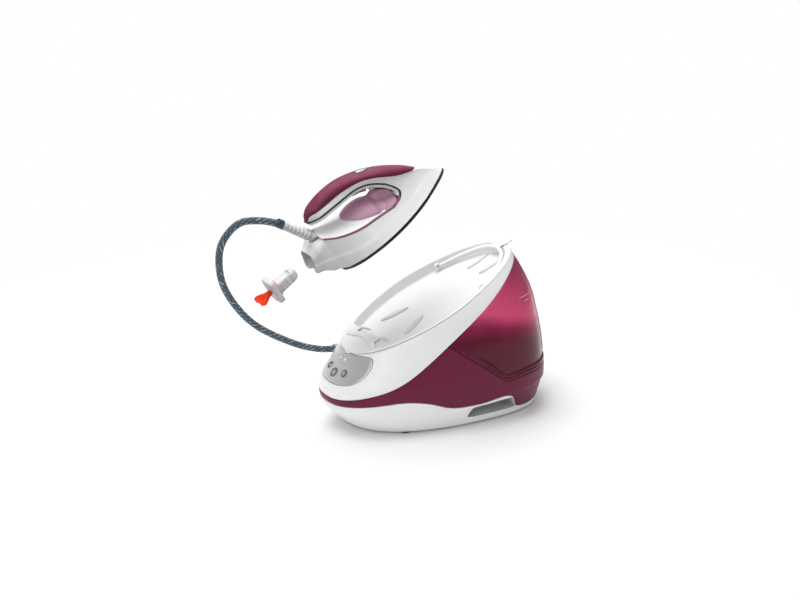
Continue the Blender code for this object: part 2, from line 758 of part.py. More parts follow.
def tank_grids(gap, thin, thetas):
    """The tank's outer and inner faces as rows of points. thin moves both faces into the wall."""
    outer, inner = [], []
    rows = 6
    for theta in thetas:
        low = on_line(theta, seam_height)
        height = on_line(theta, cover_height) - low
        flange = -tank_flange(theta) + thin
        foot = TANK_FLANGE_HEIGHT / height
        shares = (0.0, foot * 0.85, foot, 0.55, 1.0, 1.0, 1.0)
        insets = (flange, flange, thin, thin, thin, TANK_SHOULDER - thin / 2, TANK_SHOULDER + 1.6 - thin / 2)
        outer.append([tank_point(theta, share, inset, gap) for share, inset in zip(shares, insets)])
        depth = max(tank_depth(theta) - thin, TANK_SHOULDER + 2.2 - thin / 2)
        inner.append([tank_point(theta, row / rows, depth, gap) for row in range(rows + 1)])
    return list(zip(*outer)), list(zip(*inner))


def build_water_tank(looks):
    outer, inner = tank_grids(GAP, 0.0, tank_angles())
    tank = slab_object("water_tank", outer, inner, looks["tank"], origin=(0, 150, 140))
    outer, inner = tank_grids(TANK_WALL + GAP, TANK_WALL, tank_angles()[3:-3])
    cut(tank, slab_object("tank_hollow", outer, inner, None))
    cut(tank, box_object("filler_opening", (-19, 120, 196), (19, 200, 214), None))
    valve = ((0, -12), (7.4, -12), (7.4, 12), (0, 12))
    cut(tank, lathe_object("valve_opening", valve, None, valve_frame(), segments=16))


def valve_frame():
    y = body_point(math.pi, 92, tank_depth(math.pi)).y
    return axis_frame((0, y, 92), (0, 1, 0))


def build_tank_parts(looks):
    hinge = body_point(math.pi, 222, -2.6)
    outer, inner = [], []
    for row in range(4):
        z = 188 + (222 - 188) * row / 3
        outer.append([rear_point(x, z, -2.8) for x in (-26, -13, 0, 13, 26)])
        inner.append([rear_point(x, z, -0.4) for x in (-26, -13, 0, 13, 26)])
    lid = slab_object("tank_lid", outer, inner, looks["tank"], origin=hinge)
    plug = box_object("lid_plug", (-18, 140, 197), (18, rear_point(0, 205, -1.5).y, 213), None)
    cut(lid, plug, "UNION")
    trim = slab_object("lid_plug_limit", [[rear_point(x, z, 3.0) for x in (-40, 0, 40)] for z in (180, 205,
                                                                                                  230)],
                       [[rear_point(x, z, 60.0) for x in (-40, 0, 40)] for z in (180, 205, 230)], None)
    cut(lid, trim)
    valve = ((0, -7), (4.4, -7), (4.4, -1.0), (7.0, -1.0), (7.0, 6.0), (3.0, 9.0), (0, 9.0))
    lathe_object("tank_valve", valve, looks["grey"], valve_frame(), origin=valve_frame().translation,
                 segments=16)
    low, high = (-20.5, 176, 50), (20.5, body_point(math.pi, 56).y + 1.4, 62)
    box_object("tank_latch", low, high, looks["burgundy"], bevel=1.2, origin=(0, high[1], 56))
    coils = []
    for i in range(LATCH_COILS * 8 + 1):
        turn = 2 * math.pi * i / 8
        y = LATCH_SPRING_Y[0] + 1 + (LATCH_SPRING_Y[1] - LATCH_SPRING_Y[0] - 2) * i / (LATCH_COILS * 8)
        coils.append((5 * math.cos(turn), y, 56 + 5 * math.sin(turn)))
    rings_object("latch_spring", sweep_rings(coils, 0.6, 5), looks["steel"])


def rear_point(x, z, inset=0.0):
    """The point of the base's rear face at this x and height."""
    rear = value_on(tuple(zip(HEIGHTS, REAR_Y)), z) - inset
    half = value_on(tuple(zip(HEIGHTS, HALF_WIDTH)), z) - inset
    side = min(abs(x) / half, 1.0)
    return Vector((x, PLAN_MID_Y + (rear - PLAN_MID_Y) * (1 - side**REAR_POWER) ** (1 / REAR_POWER), z))


def build_tank_bay(looks):
    """The shelf under the water tank and the wall behind it."""
    thick = 2.0
    outer, inner = [], []
    for theta in tank_angles():
        seam = on_line(theta, seam_height)
        wall = max(tank_depth(theta), TANK_SHOULDER + 2.2) + 2.0
        front = [body_point(theta, seam - 0.6, WALL + 1.4), body_point(theta, seam - 0.6, wall)]
        back = [body_point(theta, seam - 0.6 - thick, WALL + 1.4),
                body_point(theta, seam - 0.6 - thick, wall + thick)]
        for share in (0.5, 1.0):
            front.append(tank_point(theta, share, wall, 0.0))
            back.append(tank_point(theta, share, wall + thick, 0.0))
        outer.append(front)
        inner.append(back)
    bay = slab_object("tank_bay", list(zip(*outer)), list(zip(*inner)), looks["grey"])
    port = ((0, -20), (8.4, -20), (8.4, 12), (0, 12))
    cut(bay, lathe_object("bay_port", port, None, valve_frame(), segments=16))


# ---------------------------------------------------------------- base: working parts
BOILER_CENTRE = (-6, -34)
BOILER_RADIUS = 44.0


def build_boiler(looks):
    at = Matrix.Translation(Vector((*BOILER_CENTRE, 0)))
    r = BOILER_RADIUS
    lower = ((0, 24), (r - 10, 24), (r, 32), (r, 62), (r + 6, 62), (r + 6, 65), (r - 2, 65), (r - 2, 33),
             (r - 11, 26.5),
             (0, 26.5))
    upper = ((0, 99.5), (r - 11, 98), (r - 2, 91), (r - 2, 65.5), (r + 6, 65.5), (r + 6, 68.5), (r, 68.5),
             (r, 92),
             (r - 10, 101), (0, 102))
    lathe_object("boiler_body", lower, looks["aluminium"], at, segments=20)
    lathe_object("boiler_cover", upper, looks["steel"], at, segments=20)
    turns = [math.radians(20 + 320 * i / 20) for i in range(21)]
    ring = [Vector((BOILER_CENTRE[0] + 27 * math.cos(a), BOILER_CENTRE[1] + 27 * math.sin(a),
                    19)) for a in turns]
    rings_object("boiler_heater", sweep_rings(ring, 4.2, 8), looks["copper"])
    spot = (BOILER_CENTRE[0] + 18, BOILER_CENTRE[1] + 10, 101.6)
    lathe_object("safety_valve", ((0, 0), (6, 0), (6, 7), (4, 8), (4, 18), (0, 18)), looks["brass"],
                 axis_frame(spot, (0, 0, 1)), segments=6)
    spot = (BOILER_CENTRE[0] - 16, BOILER_CENTRE[1] - 6, 102.2)
    lathe_object("solenoid_valve", ((0, 0), (7, 0), (7, 6), (12, 6), (12, 28), (7, 28), (7, 31), (0, 31)),
                 looks["brass"],
                 axis_frame(spot, (0, 0, 1)), segments=16)


def build_pump(looks):
    body = ((0, -46), (4, -46), (4, -34), (12, -34), (12, -20), (19, -20), (19, 20), (12, 20), (12, 34),
            (4, 34), (4, 46),
            (0, 46))
    lathe_object("water_pump", body, looks["grey"], axis_frame((-66, 58, 62), (0, 1, 0)), segments=16)
    port = valve_frame().translation
    inlet = ((0, port.y - 8, 92), (0, port.y - 22, 92), (-24, 112, 84), (-52, 112, 68), (-66, 111, 62),
             (-66, 105.4, 62))
    tube_object("water_tube", inlet, 3.4, looks["silicone"], steps=3, sides=8)
    outlet = ((-66, 11.5, 62), (-66, 2, 62), (-62, -10, 60), (BOILER_CENTRE[0] - BOILER_RADIUS - 6, -26, 56),
              (BOILER_CENTRE[0] - BOILER_RADIUS - 2.6, -30, 55))
    tube_object("boiler_feed_tube", outlet, 3.0, looks["silicone"], steps=3, sides=8)
    top = (BOILER_CENTRE[0] - 16, BOILER_CENTRE[1] - 6, 135.4)
    steam = (top, (top[0], top[1], 143), (-27, -46, 150), (-40, -60, 144), (-56, -77, 122), (-72, -92, 100),
             (-82, -99, 93))
    tube_object("steam_tube", steam, 3.4, looks["silicone"], steps=3, sides=8)


def build_feet(looks):
    for side, side_name in ((1, "right"), (-1, "left")):
        for (x, y), end in zip(FOOT_SPOTS, ("front", "rear")):
            profile = ((0, -FOOT_DROP), (FOOT_RADIUS - 1, -FOOT_DROP), (FOOT_RADIUS, -FOOT_DROP + 1),
                       (FOOT_RADIUS, -GAP), (0, -GAP))
            lathe_object("foot_%s_%s" % (end, side_name), profile, looks["rubber"],
                         Matrix.Translation(Vector((side * x, y, 0))), segments=16)


def build_base(looks):
    tray = build_bottom_tray(looks)
    build_body_shell(looks)
    build_top_cover(looks)
    build_rest_tray(looks)
    build_rest_pads(looks)
    build_heel_stop(looks)
    build_control_panel(looks)
    build_buttons(looks)
    build_lock_hoop(looks)
    build_hose_grommet(looks)
    cut(tray, build_mains_cord(looks))
    build_water_tank(looks)
    build_tank_parts(looks)
    build_tank_bay(looks)
    build_boiler(looks)
    build_pump(looks)
    build_feet(looks)


# ---------------------------------------------------------------- iron: curves
def eye_path():
    """Side view of the opening under the handle: from the tail, round the front, back along the deck."""
    upper = [(y, value_on(EYE_UPPER, y)) for y in (-116, -95, -75, -53, -36, -20, -6, 6, 17)]
    return upper + list(EYE_FRONT) + [(y, value_on(EYE_LOWER[::-1], y)) for y in (5, -12, -29, -45, -61, -78,
                                                                                  -95, -117)]


def seat_height(y):
    return value_on(SEAT_TOP, y) if y > -116.5 else HOUSING_TOP


def skirt_base(y):
    return value_on(((-150, 18), (-121, 14.5), (-117, 10), (-112, SOLE_THICKNESS + GAP),
                     (-108, SOLE_THICKNESS + GAP), (119, SOLE_THICKNESS + GAP)), y)


def side_reach(y, z, inset=0.0):
    """Half width of the iron's outer form at this station and height."""
    low, high = skirt_base(y), seat_height(max(y, -115.0))
    share = min(max((z - low) / (high - low), 0.0), 1.0)
    top = value_on(HANDLE_HALF, y)
    bottom = value_on(SKIRT_HALF, y)
    return top + (bottom - top) * (1 - share) ** value_on(SIDE_POWER, y) - inset


def iron_ring(y, low, high, inset, levels=5):
    right = []
    for i in range(levels + 1):
        z = low + (high - low) * i / levels
        right.append(Vector((max(side_reach(y, z, inset), 0.4), y, z)))
    middle = [Vector((0, y, high))]
    return right + middle + [Vector((-p.x, p.y, p.z)) for p in right[::-1]]


IRON_STATIONS = (-150, -142, -130, -121, -117, -116, -112, -106, -98, -84, -68, -50, -32, -14, 4, 20, 36, 50,
                 64, 78, 92,
                 104, 113, 119)


def offset_path(path, offset):
    """A side-view path moved towards the inside of the eye."""
    moved = []
    for i, (y, z) in enumerate(path):
        before, after = path[max(i - 1, 0)], path[min(i + 1, len(path) - 1)]
        along = Vector((after[0] - before[0], after[1] - before[1])).normalized()
        moved.append((y + along.y * offset, z - along.x * offset))
    return moved


def ribbon_object(name, path, offsets, reach, look, **options):
    """A strip across the iron that follows a side-view path."""
    rings = []
    near, far = offset_path(path, offsets[0]), offset_path(path, offsets[1])
    for (y0, z0), (y1, z1) in zip(near, far):
        wide0, wide1 = reach(y0, z0), reach(y1, z1)
        rings.append([Vector((wide0, y0, z0)), Vector((wide1, y1, z1)), Vector((-wide1, y1, z1)),
                      Vector((-wide0, y0, z0))])
    return rings_object(name, rings, look, **options)


# ---------------------------------------------------------------- iron: casing
def build_iron_body(looks, iron):
    rings = [iron_ring(y, skirt_base(y), seat_height(y), 0.0) for y in IRON_STATIONS]
    body = rings_object("iron_body", rings, looks["white"], parent=iron)
    path = eye_path()
    outline = [(-160, 89)] + path + [(-160, 61.5)]
    eye = prism_object("eye_opening", outline, -90, 90, None, lambda p, h: Vector((h, p[0], p[1])),
                       parent=iron)
    cut(body, eye)
    cavity = []
    for y in (-146, -134, -122, -112, -100, -84, -60, -30, 0, 18, 34, 52, 70, 88, 102):
        roof = value_on(((-150, 57), (-122, 55), (-112, 52), (-95, 44), (-61, 35.5), (-29, 31), (5, 25),
                         (20, 34),
                         (34, 46), (50, 44), (70, 34), (88, 20), (102, 11)), y)
        floor = 21.5 if y < -116 else -6.0
        ring = []
        for i in range(6):
            z = floor + (roof - floor) * i / 5
            ring.append(Vector((max(side_reach(y, max(z, SOLE_THICKNESS), 2.6), 1.0), y, z)))
        ring += [Vector((-p.x, p.y, p.z)) for p in ring[::-1]]
        cavity.append(ring)
    cut(body, rings_object("body_cavity", cavity, None, parent=iron))
    half = BARREL_SIZE[0] / 2 + 0.6
    tall = BARREL_SIZE[2] / 2 + 0.6
    mouth_low, mouth_high = (-half, -160, COLLECTOR_Z - tall), (half, -140, COLLECTOR_Z + tall)
    cut(body, box_object("collector_mouth", mouth_low, mouth_high, None, parent=iron))
    cut(body, guard_socket("body_socket", iron))
    pocket = box_object("switch_pocket", (-6.6, -33, 78), (6.6, -17, 120), None, parent=iron)
    cut(body, pocket)
    bore = ((0, -30), (8.6, -30), (8.6, 30), (0, 30))
    cut(body, lathe_object("boost_pocket", bore, None, boost_frame(), segments=20, parent=iron))
    return body


def build_eye_lining(looks, iron):
    path = eye_path()
    trim = ribbon_object("eye_trim", path, TRIM_OFFSET, lambda y, z: side_reach(y, z) + GAP, looks["dark"],
                         parent=iron)
    pocket = box_object("trim_pocket", (-6.6, -33, 78), (6.6, -17, 120), None, parent=iron)
    cut(trim, pocket)
    cut(trim, guard_socket("trim_socket", iron))
    liner = ribbon_object("handle_underside", path[:13], LINER_OFFSET, lambda y, z: side_reach(y, z) - 1.2,
                          looks["white"],
                          parent=iron)
    slot = box_object("trigger_slot", (-8.6, -36, 66), (8.6, -8, 96), None, parent=iron)
    cut(liner, slot)


def deck_top(x, y):
    """Height of the deck under the handle."""
    edge = value_on(EYE_LOWER[::-1], y)
    half = side_reach(y, edge) - 1.0
    return edge + DECK_LIFT + 1.2 + DECK_CROWN * (1 - min(abs(x) / half, 1.0) ** 2)


def guard_socket(name, iron):
    """Room round the strain relief's ball, wide enough for it to swing."""
    profile = ((0, -10), (9.6, -8), (9.8, 2), (12.5, 34), (0, 34))
    return lathe_object(name, profile, None, guard_frame(), segments=14, parent=iron)


def build_deck(looks, iron):
    stations = (-116, -104, -92, -80, -68, -56, -44, -32, -20, -8, 1)
    rings = []
    for y in stations:
        edge = value_on(EYE_LOWER[::-1], y)
        half = side_reach(y, edge) - 1.0
        ring = []
        for i in range(9):
            x = half * (1 - i / 4)
            ring.append(Vector((x, y, deck_top(x, y))))
        ring.append(Vector((-half, y, edge + DECK_LIFT)))
        ring.append(Vector((half, y, edge + DECK_LIFT)))
        rings.append(ring)
    deck = rings_object("deck_cover", rings, looks["white"], parent=iron)
    cut(deck, guard_socket("deck_socket", iron))


def insert_ring(spread, rise, gap):
    """One level of the deck insert: it narrows and moves forward as it climbs to the handle."""
    pad_y, pad_length, pad_width = -31.0, 35.0, 25.0
    pillar_y, pillar_length, pillar_width = -2.0, 11.0, 10.0
    share = (1 - spread) / 0.7
    points = []
    for a in angles(20):
        length = pad_length + (pillar_length - pad_length) * share
        y = pad_y + (pillar_y - pad_y) * share + math.cos(a) * length
        x = math.sin(a) * (pad_width + (pillar_width - pad_width) * share)
        low = deck_top(x, min(y, 1)) + gap
        high = value_on(EYE_UPPER, y) - 11.0
        points.append(Vector((x, y, low + max(high - low, 0.6) * rise)))
    return points


def build_deck_insert(looks, iron):
    """The pad on the deck that sweeps up into the pillar under the handle."""
    pad_y = -31.0
    base_lift, side_lift = 0.5, 1.2
    rings = []
    for share in (0.25, 0.5, 0.75, 1.0):
        level_ring = []
        for p in insert_ring(1.0, 0.0, base_lift):
            x, y = p.x * share, pad_y + (p.y - pad_y) * share
            level_ring.append(Vector((x, y, deck_top(x, min(y, 1)) + base_lift)))
        rings.append(level_ring)
    levels = ((1.0, 0.02), (0.86, 0.07), (0.68, 0.2), (0.5, 0.42), (0.37, 0.68), (0.3, 0.93))
    rings += [insert_ring(spread, rise, side_lift) for spread, rise in levels]
    rings_object("deck_insert", rings, looks["mauve"], parent=iron)


def build_handle_grip(looks, iron):
    stations = (-114, -111, -106, -98, -84, -68, -50, -32, -14, 4, 20, 36, 50, 64, 78)
    rings = []
    for y in stations:
        seat = value_on(SEAT_TOP, y) + 0.5
        half = value_on(HANDLE_HALF, y) + (0.6 if -112 < y < 70 else -0.6)
        rise = max(value_on(GRIP_TOP, y) - seat, 0.8)
        ring = [Vector((half * math.cos(a), y, seat + rise * abs(math.sin(a)) ** 0.8))
                for a in (math.pi * i / 10 for i in range(11))]
        rings.append(ring)
    grip = rings_object("handle_grip", rings, looks["grip"], parent=iron)
    bore = ((0, -30), (8.4, -30), (8.4, 30), (0, 30))
    cut(grip, lathe_object("boost_well", bore, None, boost_frame(), segments=20, parent=iron))
    switch = box_object("switch_well", (-6.6, -33, 78), (6.6, -17, 99.5), None, parent=iron)
    cut(grip, switch)


def boost_frame():
    """The thumb button on top of the grip, an oval across a tilted axis."""
    slope = math.atan2(value_on(GRIP_TOP, 12) - value_on(GRIP_TOP, -10), 22.0)
    spot = (0, 1, value_on(GRIP_TOP, 1))
    return axis_frame(spot, (0, -math.sin(slope), math.cos(slope))) @ Matrix.Diagonal((0.8, 1.35, 1.0, 1.0))


def build_controls(looks, iron):
    pivot = (0, -10.5, 71.5)
    outline = ((-33.5, 77.8), (-22, 75.2), (-10.5, 69.0), (-9.0, 71.0), (-10.2, 74.2), (-22, 79.4),
               (-33.5, 81.8))
    rings = [[Vector((x, y, z)) for y, z in outline] for x in (-7.6, 7.6)]
    rings_object("steam_trigger", rings, looks["red"], origin=pivot, parent=iron)
    box_object("trigger_switch", (-6, -32, 87), (6, -18, 98.6), looks["dark"], parent=iron)
    boost = boost_frame()
    profile = ((0, -7), (7.8, -7), (7.8, 0.2), (6.6, 1.4), (0, 2.0))
    lathe_object("boost_button", profile, looks["panel"], boost, origin=boost.translation, parent=iron)


def flat(point, height):
    return Vector((point[0], point[1], height))


def build_sole(looks, iron):
    stations = (-116, -113, -104, -94, -82, -64, -44, -22, -1, 24, 48, 70, 92, 104, 113, 118, 120)
    right = [(value_on(SOLE_HALF, y), y) for y in stations]
    outline = right + [(-x, y) for x, y in right[::-1]]
    sole = prism_object("soleplate", outline, 0, SOLE_THICKNESS, looks["sole"], flat, parent=iron)
    for row, (y, spread) in enumerate(((88, 6), (66, 14), (40, 24), (10, 33), (-30, 38), (-66, 36))):
        for side in (1, -1):
            name = "steam_vent_%d_%s" % (row, "right" if side > 0 else "left")
            vent = lathe_object(name, ((0, -2), (1.7, -2), (1.7, SOLE_THICKNESS + 3),
                                       (0, SOLE_THICKNESS + 3)), None,
                                Matrix.Translation(Vector((side * spread, y, 0))), segments=8, parent=iron)
            cut(sole, vent)
    shrunk = [(value_on(SOLE_HALF, y) - 14.0, y) for y in (-94, -82, -44, -1, 48, 66, 80)]
    outline = shrunk + [(-x, y) for x, y in shrunk[::-1]]
    prism_object("steam_chamber", outline, SOLE_THICKNESS + GAP, 13, looks["aluminium"], flat, parent=iron)
    horseshoe = [(x, y, 16.2) for x, y in ((-22, -84), (-24, -40), (-19, 10), (-9, 44), (0, 52))]
    horseshoe += [(-x, y, z) for x, y, z in horseshoe[-2::-1]]
    tube_object("sole_heater", horseshoe, 2.6, looks["steel"], steps=2, sides=6, parent=iron)
    tube = ((0, -103, 45), (0, -100, 37), (0, -92, 29), (0, -80, 25), (0, -71, 20), (0, -69, 16.4))
    tube_object("iron_steam_tube", tube, 3.0, looks["silicone"], steps=3, sides=8, parent=iron)


# ---------------------------------------------------------------- iron: hose guard and collector
def guard_direction():
    return Vector((0, -0.51, 0.86)).normalized()


def guard_frame():
    return axis_frame(CORD_PIVOT, guard_direction())


def iron_matrix():
    tilt = Matrix.Rotation(IRON_PITCH, 4, "X")
    return Matrix.Translation(Vector(IRON_TIP) - tilt @ Vector((0, TIP_Y, 0))) @ tilt


def guard_point(along):
    return iron_matrix() @ guard_frame() @ Vector((0, 0, along))


def build_hose_guard(looks):
    """The ribbed strain relief, a turned sleeve that the hose passes into."""
    bore = HOSE_RADIUS + 0.7
    length = GUARD_LENGTH
    profile = [(bore, 10), (bore - 3, 8), (bore - 3, -7), (5.2, -6.4), (7.6, -3.2), (8.2, 0), (7.8, 3),
               (7.4, 6)]
    ribs = 5
    for i in range(ribs):
        start = 9 + (length - 17) * i / ribs
        width = 8.6 - 2.0 * i / ribs
        profile += [(width, start), (width, start + 4.2), (width - 0.9, start + 4.9),
                    (width - 0.9, start + 6.4)]
    profile += [(6.9, length - 6), (7.4, length), (bore + 0.8, length), (bore, length - 12)]
    lathe_object("hose_guard", profile, looks["white"], iron_matrix() @ guard_frame(), segments=14,
                 closed=True,
                 origin=guard_point(0))


def build_collector(looks, iron):
    wide, deep, tall = FLANGE_SIZE
    start = HOUSING_END_Y - COLLECTOR_OUT
    origin = (0, start, COLLECTOR_Z)
    low = (-wide / 2, start - deep, COLLECTOR_Z - tall / 2)
    high = (wide / 2, start - GAP, COLLECTOR_Z + tall / 2)
    body = box_object("collector_body", low, high, looks["white"], origin=origin, parent=iron)
    bw, bl, bt = BARREL_SIZE
    sections = ((start - 2, bw, bt), (start + bl * 0.62, bw * 0.94, bt * 0.94),
                (start + bl, bw * 0.7, bt * 0.6))
    rings = []
    for y, w, t in sections:
        ring = []
        for x, z in ((1, -0.7), (1, 0.7), (0.7, 1), (-0.7, 1), (-1, 0.7), (-1, -0.7), (-0.7, -1), (0.7, -1)):
            ring.append(Vector((x * w / 2, y, COLLECTOR_Z + z * t / 2)))
        rings.append(ring)
    cut(body, rings_object("collector_barrel", rings, None, parent=iron), "UNION")
    back = start - deep
    knob = ((-4.5, back - GAP), (4.5, back - GAP), (5.5, back - 7), (17, back - 22), (14, back - 26),
            (-14, back - 26),
            (-17, back - 22), (-5.5, back - 7))
    knob_rings = [[Vector((x, y, COLLECTOR_Z + h)) for x, y in knob] for h in (-3.2, 3.2)]
    made = rings_object("collector_knob", knob_rings, looks["orange"], origin=(0, back, COLLECTOR_Z),
                        parent=iron)
    round_edges(made, 0.9, 1)
    ring = ((13.7, start + GAP), (15.3, start + GAP), (15.3, start + 2.2), (13.7, start + 2.2))
    seal = [[Vector((x * sx, y, COLLECTOR_Z + x * sz)) for x, y in ring] for sx, sz in SEAL_DIRECTIONS]
    rings_object("collector_seal", seal, looks["mauve"], closed=True, parent=iron)


def build_hose(looks):
    inside = [guard_point(GUARD_LENGTH - 14), guard_point(GUARD_LENGTH - 6), guard_point(GUARD_LENGTH + 2)]
    tube_object("steam_hose", inside + list(HOSE_PATH), HOSE_RADIUS, looks["hose"], steps=3, sides=8)


def build_iron(looks):
    iron = frame("iron_frame", iron_matrix().translation, (IRON_PITCH, 0, 0))
    build_iron_body(looks, iron)
    build_eye_lining(looks, iron)
    build_deck(looks, iron)
    build_deck_insert(looks, iron)
    build_handle_grip(looks, iron)
    build_controls(looks, iron)
    build_sole(looks, iron)
    build_collector(looks, iron)
    build_hose_guard(looks)


def clear_scene():
    for old in list(bpy.data.objects):
        bpy.data.objects.remove(old, do_unlink=True)


def main():
    clear_scene()
    looks = make_materials()
    build_base(looks)
    build_iron(looks)
    build_hose(looks)


main()
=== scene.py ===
"""Looks of the steam generator iron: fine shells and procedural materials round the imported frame.

Units here are millimetres until a mesh is made, which scales them to metres. +Z is up, the control
panel faces -Y and the water tank is at +Y. The iron's own curves use its local frame: y runs towards
the tip and z up from the sole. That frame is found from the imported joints.
"""

import json
import math

import bmesh
import bpy
from mathutils import Matrix, Vector


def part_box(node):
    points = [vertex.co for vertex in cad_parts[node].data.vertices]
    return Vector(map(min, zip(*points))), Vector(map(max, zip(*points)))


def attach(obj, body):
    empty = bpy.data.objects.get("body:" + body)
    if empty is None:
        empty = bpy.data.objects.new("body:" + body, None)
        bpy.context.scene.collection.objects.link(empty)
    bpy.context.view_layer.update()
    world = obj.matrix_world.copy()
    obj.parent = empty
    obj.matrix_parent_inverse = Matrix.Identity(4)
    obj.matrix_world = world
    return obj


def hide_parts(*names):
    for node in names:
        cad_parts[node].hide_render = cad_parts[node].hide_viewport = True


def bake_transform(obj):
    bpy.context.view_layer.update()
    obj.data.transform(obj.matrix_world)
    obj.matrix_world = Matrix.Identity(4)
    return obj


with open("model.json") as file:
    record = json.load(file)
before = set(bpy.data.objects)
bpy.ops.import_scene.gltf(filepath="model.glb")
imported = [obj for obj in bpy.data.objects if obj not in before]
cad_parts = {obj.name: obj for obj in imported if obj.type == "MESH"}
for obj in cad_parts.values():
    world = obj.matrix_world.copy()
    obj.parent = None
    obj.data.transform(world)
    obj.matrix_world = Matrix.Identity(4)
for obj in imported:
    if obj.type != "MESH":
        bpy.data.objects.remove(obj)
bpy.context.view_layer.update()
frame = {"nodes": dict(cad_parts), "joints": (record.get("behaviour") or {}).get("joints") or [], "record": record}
JOINTS = {joint["name"]: joint for joint in frame["joints"]}

MM = 0.001

# ---------------------------------------------------------------- base: curves shared with the frame
PLAN_MID_Y = 60.0
FRONT_POWER = 2.3
REAR_POWER = 2.5
HEIGHTS = (0, 15, 40, 75, 110, 150, 200, 262)
FRONT_Y = (-155, -174, -195, -195, -167, -142, -114, -72)
REAR_Y = (182, 184, 188, 188, 186, 179, 167, 140)
HALF_WIDTH = (107, 112, 120, 122, 118, 111, 95, 52)
FRONT_CURVE = tuple(zip(HEIGHTS, FRONT_Y))
REAR_CURVE = tuple(zip(HEIGHTS, REAR_Y))
WIDTH_CURVE = tuple(zip(HEIGHTS, HALF_WIDTH))
AROUND = 160
WALL = 2.6
RIM_START_Y = -150.0
RIM_START_Z = 127.6
RIM_PITCH = math.radians(24.2)
RIM_UP = Vector((0, -math.sin(RIM_PITCH), math.cos(RIM_PITCH)))
COVER_LINE = ((-197, 58), (-166, 67), (-125, 81), (-88, 101), (-29, 143), (43, 190), (97, 224), (150, 254))
TRAY_LINE = ((-197, 48), (-157, 54), (-110, 59), (-72, 53), (-32, 39), (20, 36), (80, 38), (97, 13),
             (190, 11))
SEAM_FRONT = (-30.0, 138.0)
SEAM_LOW = (67.0, 66.0)
SEAM_REAR_Z = 70.0
LEDGE_Y = -114.0
LEDGE_TURN = 2.2
BAND_INNER = 7.55
TRAY_FLOOR = -14.0
HOOP_PIVOT_Y = 52.0
HOOP_INSET = 15.0
LATCH_Z = 56

# ---------------------------------------------------------------- iron: curves shared with the frame
SOLE_HALF = ((-116, 34), (-104, 47), (-82, 56), (-44, 61.3), (-1, 58), (48, 43.8), (92, 21.8), (112, 8.8),
             (120, 1.2))
SKIRT_HALF = ((-150, 20), (-135, 29), (-118, 38.5), (-104, 47), (-82, 56), (-44, 60.7), (-1, 57.2),
              (48, 43.1), (92, 21), (112, 8.2), (119, 1.2))
HANDLE_HALF = ((-150, 18), (-118, 15), (-105, 15), (-53, 17), (-11, 19.5), (17, 21), (40, 19), (59, 14),
               (79, 8), (100, 3.5), (119, 0.8))
SEAT_TOP = ((-116, 88), (-112, 94), (-106, 96.5), (-75, 97), (-50, 97), (-18, 92), (7, 81), (36, 61),
            (59, 48), (79, 38), (100, 21), (112, 11), (119, 6))
GRIP_TOP = ((-118, 89.5), (-116, 93), (-113.5, 97), (-109, 101), (-101, 104.6), (-76, 111), (-42, 110),
            (-12, 101), (13, 90), (33, 79), (61, 58), (79, 40.5))
SIDE_POWER = ((-150, 0.5), (-118, 0.9), (-61, 1.05), (5, 2.0), (59, 1.7), (100, 1.2), (119, 1.0))
UNDERSIDE = ((-150, 18), (-140, 17.2), (-134, 13.5), (-128, 9.5), (-121, 8.5), (-116, 6.5), (-112, 5.4),
             (-108, 5.35), (-60, 5.35), (0, 5.35), (60, 5.35), (119, 5.35))
HOUSING_TOP = ((-150, 49.5), (-142, 51.5), (-126, 58), (-116, 61))
HOUSING_END_Y = -150.0
EYE_UPPER = ((-118, 89), (-79, 89.4), (-53, 89), (-28, 87), (-11, 82), (4, 73), (17, 62))
EYE_FRONT = ((17, 62, 0), (27, 48, 0), (30, 38, 0), (22, 31.5, 0), (5, 29, 0))
EYE_LOWER = ((-117, 60), (-95, 49), (-61, 40), (-29, 35), (5, 29))
CORD_PIVOT = Vector((0.0, -120.0, 63.0))
# The room that the hose guard's ball turns in, as radius and height along the guard.
SOCKET = ((0, -10), (9.6, -8), (9.8, 2), (12.5, 34), (0, 34))
COLLECTOR_Z = 37.0
COLLECTOR_GAP = 62.0
HOSE_RADIUS = 5.5
HOSE_TWIST = 10.0
GUARD_LENGTH = 56.0

# ---------------------------------------------------------------- light and camera, in metres
LAMPS = (
    ("top", (-0.5, -0.3, 2.6), 2.2, 66.0),
    ("key", (1.5, -2.1, 1.5), 1.2, 17.0),
    ("back", (-1.8, 1.4, 1.8), 1.6, 10.0),
)
LAMP_TARGET = Vector((0, 0, 0.15))
ROOM_LIGHT = 0.36
CAMERA_AZIMUTH = math.radians(58.0)
CAMERA_ELEVATION = math.radians(20.0)
CAMERA_DISTANCE = 2.2
CAMERA_TARGET = Vector((0.0, 0.0, 0.12))
CAMERA_LENS = 60.09
CAMERA_OFFSET = Vector((0.02337, -0.02659, -1.0))


# ---------------------------------------------------------------- curves and surfaces
def value_on(points, x):
    """Cubic Hermite curve through (x, value) points, with average slopes at the points."""
    x = min(max(x, points[0][0]), points[-1][0])
    last = len(points) - 1
    i = 0
    while i < last - 1 and x > points[i + 1][0]:
        i += 1
    (x0, v0), (x1, v1) = points[i], points[i + 1]
    before, after = points[max(i - 1, 0)], points[min(i + 2, last)]
    slope0 = (v1 - before[1]) / (x1 - before[0])
    slope1 = (after[1] - v0) / (after[0] - x0)
    span = x1 - x0
    t = (x - x0) / span
    return (
        (2 * t**3 - 3 * t**2 + 1) * v0
        + (t**3 - 2 * t**2 + t) * span * slope0
        + (3 * t**2 - 2 * t**3) * v1
        + (t**3 - t**2) * span * slope1
    )


def smooth_step(low, high, x):
    t = min(max((x - low) / (high - low), 0.0), 1.0)
    return t * t * (3 - 2 * t)


def signed_power(value, power):
    return math.copysign(abs(value) ** power, value)


